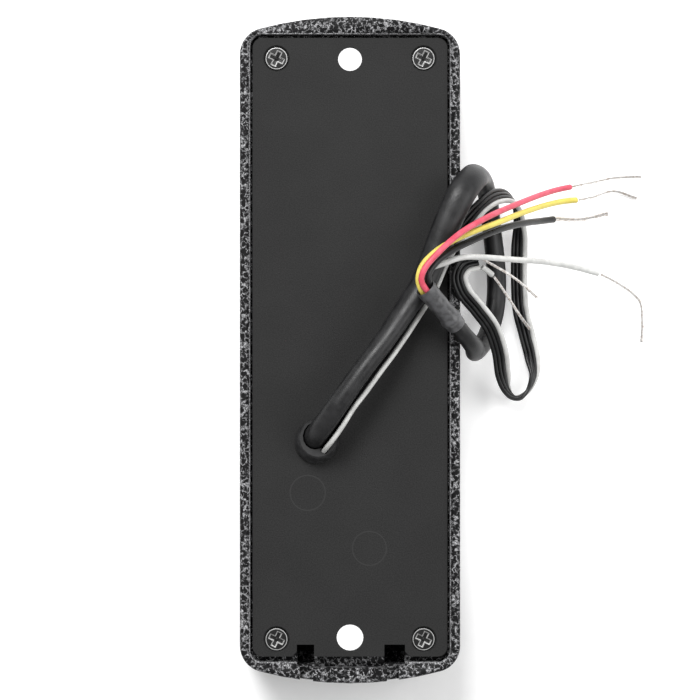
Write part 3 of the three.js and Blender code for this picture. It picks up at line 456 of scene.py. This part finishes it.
lead_stations = [
    ((-5.5, -22.4, 15.5), (0.8, -0.6, 0)),
    ((-5.5, -22.4, 19.6), (0.8, -0.6, 0)),
    ((-5.4, -22.2, 22), (0.8, -0.6, 0)),
    ((-5.1, -21.6, 24.4), (0.8, -0.6, -0.1)),
    ((-4.4, -20.5, 26.2), (0.8, -0.6, -0.2)),
    ((-3.4, -18.9, 27.4), (0.8, -0.6, -0.3)),
    ((-2, -16.6, 28.2), (0.8, -0.6, -0.4)),
    ((0.1, -12.8, 28.5), (0.7, -0.5, -0.5)),
    ((2.7, -9, 28.2), (0.6, -0.4, -0.7)),
    ((6.1, -4.3, 27.7), (0.6, -0.4, -0.7)),
    ((9.6, 0.4, 26.7), (0.6, -0.4, -0.7)),
    ((15, 8.8, 24.9), (0.5, -0.3, -0.8)),
    ((18, 14, 23.8), (0.3, -0.1, -0.9)),
    ((20.6, 20, 23.1), (0, 0, -1)), ((23.6, 25.2, 23), (0, 0, -1)),
    ((27, 29.4, 22.4), (-0.1, 0.1, -1)),
    ((30.2, 33, 19.4), (-0.5, 0.1, -0.8)),
    ((33.4, 35.2, 15.4), (-0.6, -0.3, -0.7)),
    ((36.8, 35.4, 10.4), (-0.7, -0.6, -0.3)),
    ((39, 32.8, 6), (-0.8, -0.4, 0.3)),
    ((39.7, 28.4, 3), (-0.6, 0.3, 0.8)),
    ((39.6, 23, 1.4), (0, 0.1, 1)), ((39.6, 15.2, 1), (0, 0, 1)),
    ((40, 9.3, 1), (0, 0, 1)), ((41.4, 3.7, 1), (0, 0, 1)),
    ((42.7, -1.8, 1.4), (0.3, 0, 1)),
    ((43, -6.2, 2.2), (0.9, -0.3, 0.5)),
    ((41.4, -9.8, 2.4), (0.8, -0.8, 0.1)),
    ((39.2, -11.2, 3.2), (0.1, -1, -0.1)),
    ((37, -9.8, 5.4), (-0.5, -0.6, -0.7)),
    ((35.4, -5.8, 9.4), (-0.2, -0.1, -1)),
    ((34.4, -0.4, 13.8), (0, 0, -1)),
    ((32.4, 4.9, 17.4), (0, 0, -1)), ((29, 9.3, 20.9), (0, 0, -1)),
    ((25.6, 13.4, 23.7), (0, 0, -1)),
    ((24.7, 16.8, 24.3), (0, 0, -1)), ((26.2, 19.2, 24), (0, 0, -1)),
    ((29, 20, 23), (0, 0, -1)),
]
core_sizes = [0.00058, 0.00049, 0.00049, 0.00049]
core_offsets = [-0.00142, -0.00045, 0.00045, 0.00135]
lead_gap = 0.0005

lead_points = np.array([point for point, _ in lead_stations]) / 1000
lead_line, lead_places = smooth_line(lead_points, lead_gap)
lead_facings = np.array([facing for _, facing in lead_stations], float)
lead_over, lead_across = squared_up(lead_line, facing_at(lead_places, lead_facings))
cores = [shell(swept(lead_line, lead_over, lead_across, oval(size, size, 14) + [0, offset]))
         for size, offset in zip(core_sizes, core_offsets)]
black_insulation = jacket_finish("black_insulation", tone(10, 10, 11), tone(17, 17, 18), 0.32)
white_insulation = jacket_finish("white_insulation", tone(176, 176, 174),
                                 tone(192, 192, 190), 0.4)
flat_lead = new_piece("flat_lead_ribbon", cores, white_insulation, black_insulation)
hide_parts("flat_lead")

# Its bared ends are fine tinned strands laid up in a long twist, opening a little at the tips.
strand_twist = 900
strand_gap = 0.0004
tip_opening = 0.5
stub_radius = 0.00065


def strand_bundle(points, diameter):
    """Seven closed strands along a route. Six circle the middle one at a third of the diameter,
    turning by strand_twist radians a metre, and spread by the tip's opening times the fourth power
    of the share of the way along."""
    line, _ = smooth_line(np.array(points) / 1000, strand_gap)
    over, across = squared_up(line, untwisted(line))
    run = np.linspace(0, run_length(line), len(line))
    spread = diameter / 3 * (1 + tip_opening * (run / run[-1]) ** 4)
    bundle = [shell(swept(line, over, across, oval(diameter / 6, diameter / 6, 8)))]
    for number in range(6):
        turn = run * strand_twist + number * np.pi / 3
        middle = line + (spread * np.cos(turn))[:, None] * over
        middle = middle + (spread * np.sin(turn))[:, None] * across
        bundle.append(shell(swept(middle, over, across, oval(diameter / 6, diameter / 6, 8))))
    return bundle


tinned_copper = Finish("tinned_copper", {"IOR": 1.5, "Metallic": 1.0})
tarnish = tinned_copper.grain(1500, 4)
tinned_copper.wear(
    base_color=tinned_copper.tinted(tinned_copper.ramp(tarnish, 0.4, 0.68),
                                    tone(224, 222, 220), tone(188, 178, 170)),
    roughness=tinned_copper.ramp(tarnish, 0.3, 0.7, 0.28, 0.5),
)
lead_strand_routes = {
    "dark": [(29.8, 20.6, 22.9), (33.6, 18.8, 19.4), (37.8, 16.6, 12.8), (40.9, 14.6, 6.2),
             (43.8, 12.3, 1.4)],
    "pale": [(32.7, 16.7, 20.4), (34.3, 14.8, 17.4), (36.9, 11.5, 11.6), (39.6, 8, 5.6),
             (42, 5, 2.4)],
}
for shade, points in lead_strand_routes.items():
    bundle = new_piece(f"lead_bare_strands_{shade}", strand_bundle(points, 0.0006), tinned_copper)
    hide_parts(f"lead_strands_{shade}")
stub_points = np.array([(29.9, 18.8, 22.5), (31, 18.1, 21.9), (32.3, 17.1, 20.8)]) / 1000
stub_line, _ = smooth_line(stub_points, 0.0003)
stub_over, stub_across = squared_up(stub_line, untwisted(stub_line))
lead_stub = new_piece(
    "lead_white_stub",
    [shell(swept(stub_line, stub_over, stub_across, oval(stub_radius, stub_radius, 18)))],
    white_insulation,
)
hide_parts("lead_stub")


# ---- Four wires -------------------------------------------------------------------------------
# The cable's cores, PVC on fine stranded copper: red, yellow, white and a heavier black. They fan
# out of the sleeve's mouth, and each ends stripped, with its bare strands lying on the table.

wire_routes = {
    "red": [
        (18.5, 11.8, 33.9), (16.7, 13.6, 35.2), (15.8, 15.6, 36.1), (16.6, 18.1, 36.3),
        (20, 22, 35.3), (24.4, 25.9, 32.6), (30.6, 29.7, 27.2), (37, 32.8, 19.4), (44.4, 36, 9.8),
        (48.4, 37.4, 5), (51.6, 38.2, 2),
    ],
    "yellow": [
        (17.3, 11.6, 32.7), (15.9, 13.3, 33.8), (15.2, 15.6, 34.1), (16, 18.6, 33.8),
        (18.9, 21.8, 32.8), (23, 24.4, 31.6), (28, 26.7, 28.9), (33.6, 28.9, 23.7),
        (39.4, 31.4, 16.4), (45.4, 33.6, 8.2), (49.5, 34.7, 3.7), (53.1, 35.2, 1.4),
    ],
    "black": [
        (19, 13, 32.7), (17.7, 14.6, 34), (17.3, 16.4, 34.6), (19, 19.3, 33.7), (22.8, 22.2, 31.3),
        (27.8, 24.8, 27.1), (33.6, 27.3, 21.4), (39.6, 29.1, 13.8), (44.2, 30, 6.6),
        (47.6, 30.6, 2.4),
    ],
    "white": [
        (17.7, 12.7, 31.6), (16.3, 14.3, 32.6), (15.9, 16, 32.7), (17, 17.7, 32.2),
        (19, 18.7, 31.4), (21.4, 19.5, 30.4), (23.6, 20.4, 29.2), (26, 20.9, 27.9),
        (29.8, 20.9, 25.8), (36.8, 20.6, 20.2), (45.2, 20.3, 11.2), (52.6, 19.3, 4.2),
        (58.2, 18, 1.3),
    ],
}
bare_routes = {
    "red": [
        (52.1, 38.3, 1.6), (56.8, 39.3, 0.9), (61.9, 40.4, 0.7), (68.5, 40.7, 0.6),
    ],
    "yellow": [
        (53.7, 35.2, 1.1), (57, 35.9, 0.8), (61.8, 37.3, 0.7), (67.4, 35.6, 0.6),
    ],
    "black": [
        (48.2, 30.7, 2), (54, 30.6, 1), (60.6, 32, 0.8),
    ],
    "white": [
        (58.8, 17.8, 1.1), (63.2, 15.5, 0.8), (66.6, 13.1, 0.7), (68.2, 11.2, 0.6),
        (68.7, 6.6, 0.6), (68.5, 1.8, 0.6),
    ],
}
wire_gap = 0.0005
wire_sizes = {"red": 0.00135, "yellow": 0.00135, "black": 0.0016, "white": 0.00135}
bare_sizes = {"red": 0.0006, "yellow": 0.0006, "black": 0.0009, "white": 0.0006}
wire_finishes = {
    "red": jacket_finish("red_insulation", tone(186, 66, 84), tone(202, 84, 102), 0.4),
    "yellow": jacket_finish("yellow_insulation", tone(192, 176, 78), tone(206, 190, 92), 0.4),
    "black": black_insulation,
    "white": white_insulation,
}
for shade, points in wire_routes.items():
    line, _ = smooth_line(np.array(points) / 1000, wire_gap)
    over, across = squared_up(line, untwisted(line))
    size = wire_sizes[shade] / 2
    wire = new_piece(f"{shade}_core_wire",
                     [shell(swept(line, over, across, oval(size, size, 18)))],
                     wire_finishes[shade])
    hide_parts(f"{shade}_wire")
    bare = new_piece(f"{shade}_bare_strands",
                     strand_bundle(bare_routes[shade], bare_sizes[shade]), tinned_copper)
    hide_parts(f"{shade}_wire_strands")


# ---- Case -------------------------------------------------------------------------------------
# A die-cast zinc box with rounded ends, open at the back, in silver-vein hammered paint: nearly
# black cells a millimetre or two across, parted by a raised net of grey metallic veins.

def refined(node, finish, body="housing", smooth=35):
    """A copy of a CAD solid with its loose triangles joined, so that its curves shade smoothly and
    edges over smooth degrees stay crisp. Large faces set the shading of the bevels beside them.
    It stands for that solid."""
    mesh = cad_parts[node].data.copy()
    mesh.name = f"{node}_finished"
    edit = bmesh.new()
    edit.from_mesh(mesh)
    bmesh.ops.remove_doubles(edit, verts=edit.verts, dist=1e-6)
    edit.to_mesh(mesh)
    edit.free()
    mesh.materials.clear()
    mesh.materials.append(finish.material)
    mesh.shade_smooth()
    mesh.set_sharp_from_angle(angle=np.radians(smooth))
    made = new_object(mesh.name, mesh)
    made.modifiers.new("flat_faces", "WEIGHTED_NORMAL").keep_sharp = True
    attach(made, body)
    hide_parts(node)
    return made


cell_size = 0.00125
cell_drift = 0.0019
vein_widths = (0.09, 0.26)
recess = [(-0.0222, 0.0222), (-0.0697, 0.0710), (0.0, 0.0196)]
recess_shade_share = 0.93
recess_fade = 0.0001


def pick(finish, axis):
    """How far along x, y or z each point is."""
    return finish.node("SeparateXYZ", {}, {0: finish.place}, axis)


hammered_paint = Finish("hammered_paint", {"IOR": 1.22})
drift = hammered_paint.node("TexNoise", {}, {"Vector": hammered_paint.place, "Scale": 900.0,
                                             "Detail": 3.0}, "Color")
moved = hammered_paint.node("VectorMath", {"operation": "SCALE"}, {0: drift, "Scale": cell_drift})
moved = hammered_paint.node("VectorMath", {"operation": "ADD"},
                            {0: hammered_paint.place, 1: moved})
cells = hammered_paint.node(
    "TexVoronoi", {"feature": "DISTANCE_TO_EDGE"}, {"Vector": moved, "Scale": 1 / cell_size},
    "Distance")
torn = hammered_paint.grain(1150, 4)
vein_width = hammered_paint.ramp(hammered_paint.grain(420, 2), 0.35, 0.65, *vein_widths)
net = 1 - hammered_paint.ramp(cells / vein_width, 0.3, 1.0)
vein = net * hammered_paint.ramp(torn, 0.38, 0.6)
# Painted shade: inside the hollow under the plate most of the vein colour is left out, so it reads
# dark.
recess_shade = 1.0
for axis, (low, high) in enumerate(recess):
    reach = pick(hammered_paint, axis)
    recess_shade = recess_shade * hammered_paint.ramp(reach, low - recess_fade, low + recess_fade)
    recess_shade = recess_shade * hammered_paint.ramp(reach, high - recess_fade, high + recess_fade,
                                                1.0, 0.0)
vein_less_recess_shade = vein * (1 - recess_shade_share * recess_shade)
flake = hammered_paint.grain(5200, 2)
vein_colour = hammered_paint.tinted(hammered_paint.ramp(flake, 0.35, 0.65),
                                    tone(60, 60, 61), tone(170, 170, 172))

# Along the top of the recess a thin bright line is painted into the colour: a painted highlight on
# its inner edge. The recess is a rounded oblong: how far a point lies outside it is the length of
# what its offsets exceed the straight part by, less the corner radius.
recess_middle, recess_half, recess_corner = (0.0, 0.0004), (0.02265, 0.0712), 0.0027
rim_highlight_off = 0.00013
rim_highlight_core, rim_highlight_end = 0.00007, 0.0002
rim_highlight_level = (0.0214, 0.0216)
over_square, deepest = 0.0, None
for axis in (0, 1):
    off = hammered_paint.node("Math", {"operation": "ABSOLUTE"},
                              {0: pick(hammered_paint, axis) - recess_middle[axis]})
    off = off - (recess_half[axis] - recess_corner)
    part = hammered_paint.maths("MAXIMUM", off, 0.0)
    over_square = over_square + part * part
    deepest = off if deepest is None else hammered_paint.maths("MAXIMUM", deepest, off)
outside_by = hammered_paint.node("Math", {"operation": "SQRT"}, {0: over_square})
outside_by = outside_by + hammered_paint.maths("MINIMUM", deepest, 0.0) - recess_corner
from_edge = hammered_paint.node("Math", {"operation": "ABSOLUTE"}, {0: outside_by - rim_highlight_off})
painted_rim_highlight = hammered_paint.ramp(from_edge, rim_highlight_core, rim_highlight_end, 1.0, 0.0)
painted_rim_highlight = painted_rim_highlight * hammered_paint.ramp(pick(hammered_paint, 2), *rim_highlight_level)
painted_rim_highlight = painted_rim_highlight * hammered_paint.ramp(torn, 0.3, 0.55, 0.35, 1.0)
# The painted rim highlight is laid over the veins in the colour.
veins_and_rim_highlight = hammered_paint.maths("MAXIMUM", vein_less_recess_shade, painted_rim_highlight)
hammered_paint.wear(
    base_color=hammered_paint.tinted(veins_and_rim_highlight, tone(14, 14, 15), vein_colour),
    roughness=hammered_paint.ramp(vein, 0.0, 1.0, 0.5, 0.58),
    bump=(vein + 0.08 * flake, 0.00005),
)
refined("case", hammered_paint, smooth=30)


# ---- Back plate -------------------------------------------------------------------------------
# A moulded black ABS cover with a fine spark-eroded grain, held by four screws on a gasket. Two
# ejector pins have left faint round marks on it.

plate_plastic = Finish("plate_plastic", {"IOR": 1.24})
erosion = plate_plastic.grain(3600, 3)
cloud = plate_plastic.grain(70, 3)
mark_core, mark_end = 0.00004, 0.00022
pin_marks = [((-0.0096, -0.0325, 0.0214), 0.00398), ((0.0044, -0.0451, 0.0214), 0.00385)]
mark = 0.0
for middle, radius in pin_marks:
    reach = plate_plastic.node("VectorMath", {"operation": "DISTANCE"},
                               {0: plate_plastic.place, 1: middle}, "Value")
    off_ring = plate_plastic.node("Math", {"operation": "ABSOLUTE"}, {0: reach - radius})
    mark = mark + plate_plastic.ramp(off_ring, mark_core, mark_end, 1.0, 0.0)
plate_plastic.wear(
    base_color=plate_plastic.tinted(
        0.15 * plate_plastic.ramp(cloud, 0.3, 0.7)
        + 0.7 * plate_plastic.ramp(erosion, 0.3, 0.7) + 0.9 * mark,
        tone(28, 28, 28), tone(44, 44, 44)),
    roughness=plate_plastic.ramp(erosion, 0.3, 0.7, 0.66, 0.8),
    bump=(erosion + 0.8 * mark, 0.00004),
)
refined("back_plate", plate_plastic, smooth=20)


# ---- Rubber: gasket, seals and outlet bush ----------------------------------------------------
# EPDM mouldings, matt black with a slight bloom. The gasket is squeezed under the plate, and the
# bush grips the plate's edge and leans the way that the cable goes.

black_rubber = Finish("black_rubber", {"IOR": 1.5})
bloom = black_rubber.grain(650, 4)
black_rubber.wear(
    base_color=black_rubber.tinted(black_rubber.ramp(bloom, 0.4, 0.7),
                                   tone(20, 20, 21), tone(34, 34, 35)),
    roughness=black_rubber.ramp(bloom, 0.3, 0.7, 0.5, 0.72),
    bump=(bloom, 0.00004),
)
for node in ("back_gasket", "window_seal", "button_seal", "cable_grommet"):
    refined(node, black_rubber, smooth=30)


# ---- Plate screws -----------------------------------------------------------------------------
# Four countersunk cross-head screws, steel with dark nickel plating. A pale ring round the rim of
# each head and pale lines along the edges of its recess are partly rubbed-through bright metal and
# partly painted highlight.

cross_turn = np.radians(65)
screw_radius = 0.0026
slot_half_width = 0.00052
slot_reach = 0.0017
slot_depth = 0.0009
slot_ease = 0.0001
dome = 0.03
rim_drop, rim_share = 0.0002, 0.94
cone_height, cone_radius = 0.00045, 0.0005
edge_wear_and_glint_width, rim_wear_and_glint, rim_wear_and_glint_width = 0.00009, 0.00238, 0.00007
skirt_height, skirt_share = 0.0009, 0.62
screw_off_middle = 0.0167
screw_row = {1: 0.0662, -1: -0.0657}


def cross_head(middle_x, middle_y, top):
    """A low domed head with a cross sunk in it, and how pale each point is from 0 to 1, partly
    wear and partly painted highlight.

    Height is the dome, which falls with the square of the radius, less the recess depth where a
    point is inside either arm. An arm's inside is the smaller of its half width less the distance
    off its line and its reach less the distance along it, eased over slot_ease. The recess grows
    shallower outwards, a small cone stands at its middle and the rim drops away. The paleness,
    partly wear and partly painted highlight, peaks where that inside distance is nil and near the
    rim. A narrower skirt closes the head below.
    """
    radius = np.linspace(0.00003, screw_radius, 56)[:, None]
    angle = np.linspace(0, 2 * np.pi, 120, endpoint=False)[None, :]
    along = radius * np.cos(angle - cross_turn)
    aside = radius * np.sin(angle - cross_turn)
    arms = [np.minimum(slot_half_width - abs(b), slot_reach - abs(a))
            for a, b in ((along, aside), (aside, along))]
    inside = np.maximum(*arms)
    sunk = np.clip(inside / slot_ease + 0.5, 0, 1) * (1 - 0.45 * radius / slot_reach)
    height = top - dome * radius**2 / screw_radius - slot_depth * sunk
    past_rim = np.clip((radius / screw_radius - rim_share) / 0.06, 0, 1)
    height = height - rim_drop * past_rim**2
    height = height + cone_height * np.clip(1 - radius / cone_radius, 0, 1)
    face = np.stack([middle_x + radius * np.cos(angle), middle_y + radius * np.sin(angle),
                     height], axis=-1)
    # Pale lines along the cross's edges and a pale ring by the rim: partly wear, partly painted
    # highlight.
    wear_and_glint = np.exp(-((inside / edge_wear_and_glint_width) ** 2))
    wear_and_glint = wear_and_glint + 0.7 * np.exp(-(((radius - rim_wear_and_glint) / rim_wear_and_glint_width) ** 2))
    skirt = face[-1] + [0, 0, -skirt_height]
    skirt[:, 0] = middle_x + (skirt[:, 0] - middle_x) * skirt_share
    skirt[:, 1] = middle_y + (skirt[:, 1] - middle_y) * skirt_share
    wear_and_glint = np.vstack([np.broadcast_to(wear_and_glint, face.shape[:2]), np.zeros((1, face.shape[1]))])
    return np.concatenate([face, skirt[None]]), np.clip(wear_and_glint, 0, 1)


dark_nickel = Finish("dark_nickel", {"IOR": 1.4})
# Where pale, the head is whiter and less metallic: partly rubbed metal, partly painted highlight.
wear_and_glint_fac = dark_nickel.node("Attribute", {"attribute_name": "wear_and_glint"}, {}, "Fac")
scuff = dark_nickel.grain(2400, 4)
dark_nickel.wear(
    base_color=dark_nickel.tinted(wear_and_glint_fac * dark_nickel.ramp(scuff, 0.2, 0.5, 0.6, 1.0),
                                  tone(48, 48, 48), tone(222, 222, 221)),
    metallic=1 - 0.85 * wear_and_glint_fac,
    roughness=dark_nickel.ramp(scuff, 0.3, 0.7, 0.36, 0.5),
    bump=(scuff, 0.00001),
)
for corner, side, end in (("top_left", -1, 1), ("top_right", 1, 1),
                          ("bottom_left", -1, -1), ("bottom_right", 1, -1)):
    node = f"plate_screw_{corner}"
    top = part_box(node)[1][2]
    grid, wear_and_glint = cross_head(side * screw_off_middle, screw_row[end], top)
    head = new_piece(f"{node}_head", [shell(grid)], dark_nickel, smooth=45)
    spread = np.append(wear_and_glint.ravel(), [0.0, 0.0]).astype(np.float32)
    head.data.attributes.new("wear_and_glint", "FLOAT", "POINT").data.foreach_set("value", spread)
    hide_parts(node)


# ---- Reading window and light guide -----------------------------------------------------------
# The window is gloss black acrylic that the aerial reads through. The light guide is a frosted
# clear strip over three indicator lights. Both are snapped in from behind.

window_plastic = Finish("window_plastic", {"IOR": 1.49, "Coat Weight": 0.6,
                                           "Coat Roughness": 0.05})
haze = window_plastic.grain(160, 4)
window_plastic.wear(
    base_color=window_plastic.tinted(window_plastic.ramp(haze, 0.4, 0.7),
                                     tone(13, 13, 15), tone(22, 22, 25)),
    roughness=window_plastic.ramp(haze, 0.3, 0.7, 0.08, 0.2),
)
refined("reader_window", window_plastic)
guide_plastic = Finish("light_guide_plastic", {"IOR": 1.49, "Transmission Weight": 0.35})
flow = guide_plastic.grain(500, 3)
guide_plastic.wear(
    base_color=guide_plastic.tinted(flow, tone(150, 156, 162), tone(196, 201, 206)),
    roughness=guide_plastic.ramp(flow, 0.3, 0.7, 0.12, 0.3),
)
for node in ("light_guide", "status_light_left", "status_light_middle", "status_light_right"):
    refined(node, guide_plastic)


# ---- Call button ------------------------------------------------------------------------------
# A turned stainless cap, brushed across, on a nylon plunger that works a switch. Only these two
# move. The coil spring behind the cap rides on the housing and keeps its length.

bright_steel = Finish("bright_steel", {"IOR": 1.5, "Metallic": 1.0})
stretched = bright_steel.node("Mapping", {}, {"Vector": bright_steel.place,
                                              "Scale": (60.0, 2200.0, 600.0)})
brushing = bright_steel.grain(1.0, 3, place=stretched)
bright_steel.wear(
    base_color=bright_steel.tinted(brushing, tone(150, 151, 153), tone(204, 205, 206)),
    roughness=bright_steel.ramp(brushing, 0.3, 0.7, 0.22, 0.4),
    bump=(brushing, 0.000012),
)
refined("button_cap", bright_steel, body="button")
pale_nylon = Finish("pale_nylon", {"IOR": 1.53})
flecks = pale_nylon.grain(900, 3)
pale_nylon.wear(
    base_color=pale_nylon.tinted(flecks, tone(206, 202, 190), tone(228, 225, 214)),
    roughness=pale_nylon.ramp(flecks, 0.3, 0.7, 0.4, 0.58),
    bump=(flecks, 0.00002),
)
refined("switch_plunger", pale_nylon, body="button")

spring_low, spring_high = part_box("button_spring")
spring_wire = 0.00035
spring_y = -0.03
spring_radius = (spring_high[0] - spring_low[0]) / 2 - spring_wire
spring_turns = 3.5
turn = np.linspace(0, 2 * np.pi * spring_turns, 260)
rise = np.linspace(spring_low[2] + spring_wire, spring_high[2] - spring_wire, len(turn))
coil = np.column_stack([spring_radius * np.cos(turn), spring_y + spring_radius * np.sin(turn),
                        rise])
coil_over, coil_across = squared_up(coil, np.tile([0.0, 0.0, 1.0], (len(coil), 1)))
button_spring = new_piece(
    "button_spring_coil",
    [shell(swept(coil, coil_over, coil_across, oval(spring_wire, spring_wire, 12)))], bright_steel,
)
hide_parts("button_spring")
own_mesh(button_spring)


# ---- Circuit board and its parts --------------------------------------------------------------
# A green glass-epoxy board on four posts, with the aerial coil, chips, sounder and connectors
# soldered to it. The two four-way plugs are for the cable and the flat lead, whose wires to them
# aren't modelled.

green_laminate = Finish("green_laminate", {"IOR": 1.5, "Coat Weight": 0.3})
tracks = green_laminate.node("TexBrick", {"offset": 0.5},
                             {"Vector": green_laminate.place, "Scale": 130.0,
                              "Mortar Size": 0.035, "Color1": (0, 0, 0, 1),
                              "Color2": (0, 0, 0, 1), "Mortar": (1, 1, 1, 1)})
weave = green_laminate.grain(1400, 2)
green_laminate.wear(
    base_color=green_laminate.tinted(tracks, tone(16, 74, 42), tone(44, 118, 70)),
    roughness=green_laminate.ramp(weave, 0.3, 0.7, 0.3, 0.46),
    bump=(weave, 0.00002),
)
refined("circuit_board", green_laminate)
enamelled_copper = Finish("enamelled_copper", {"IOR": 1.5, "Metallic": 1.0})
windings = enamelled_copper.node("TexWave", {"bands_direction": "DIAGONAL"},
                                 {"Vector": enamelled_copper.place, "Scale": 900.0,
                                  "Distortion": 1.0}, "Fac")
enamelled_copper.wear(
    base_color=enamelled_copper.tinted(windings, tone(120, 58, 30), tone(196, 108, 62)),
    roughness=enamelled_copper.ramp(windings, 0.0, 1.0, 0.25, 0.45),
    bump=(windings, 0.00004),
)
refined("antenna_coil", enamelled_copper)
black_epoxy = Finish("black_epoxy", {"IOR": 1.55})
filler = black_epoxy.grain(2600, 4)
black_epoxy.wear(
    base_color=black_epoxy.tinted(filler, tone(24, 24, 26), tone(46, 46, 48)),
    roughness=black_epoxy.ramp(filler, 0.3, 0.7, 0.45, 0.65),
    bump=(filler, 0.00002),
)
for node in ("switch_body", "controller_chip", "reader_chip", "voltage_regulator", "sounder"):
    refined(node, black_epoxy)
steel_parts = [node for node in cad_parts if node.startswith("board_screw_")]
for node in (*steel_parts, "crystal", "capacitor"):
    refined(node, bright_steel)
for node in ("cable_header", "cable_plug", "lead_header", "lead_plug"):
    refined(node, pale_nylon)


# ---- Table sheet ------------------------------------------------------------------------------
# A plain white sheet under everything, just below the reader's face so that the two never meet.
# Two areas of it glow, as if lit from beneath: one smaller than the reader, where the fixing holes
# look through, and a faint one under the loose cords, which softens their shadows.

table_white = Finish("table_white", {"Roughness": 0.85, "Emission Strength": 1.2})
fibre = table_white.grain(240, 3)
lit = 0.0
for strength, panel in (
    (1.0, ((0, -0.0045, 0.0045, 0.0005), (1, -0.0718, 0.0718, 0.0003))),
    (0.22, ((0, 0.027, 0.16, 0.01), (1, -0.04, 0.09, 0.04))),
):
    panel_lit = strength
    for axis, low, high, fade in panel:
        reach = pick(table_white, axis)
        panel_lit = panel_lit * table_white.ramp(reach, low - fade, low)
        panel_lit = panel_lit * table_white.ramp(reach, high, high + fade, 1.0, 0.0)
    lit = table_white.maths("MAXIMUM", lit, panel_lit)
table_white.wear(
    base_color=table_white.tinted(fibre, tone(243, 243, 243), tone(249, 249, 249)),
    emission_color=table_white.tinted(lit, (0, 0, 0, 1), (1, 1, 1, 1)),
)
half, level = 1.5, -0.0003
table_mesh = bpy.data.meshes.new("table_sheet")
table_mesh.from_pydata([(-half, -half, level), (half, -half, level),
                        (half, half, level), (-half, half, level)], [], [(0, 1, 2, 3)])
table_mesh.materials.append(table_white.material)
new_object("table_sheet", table_mesh)
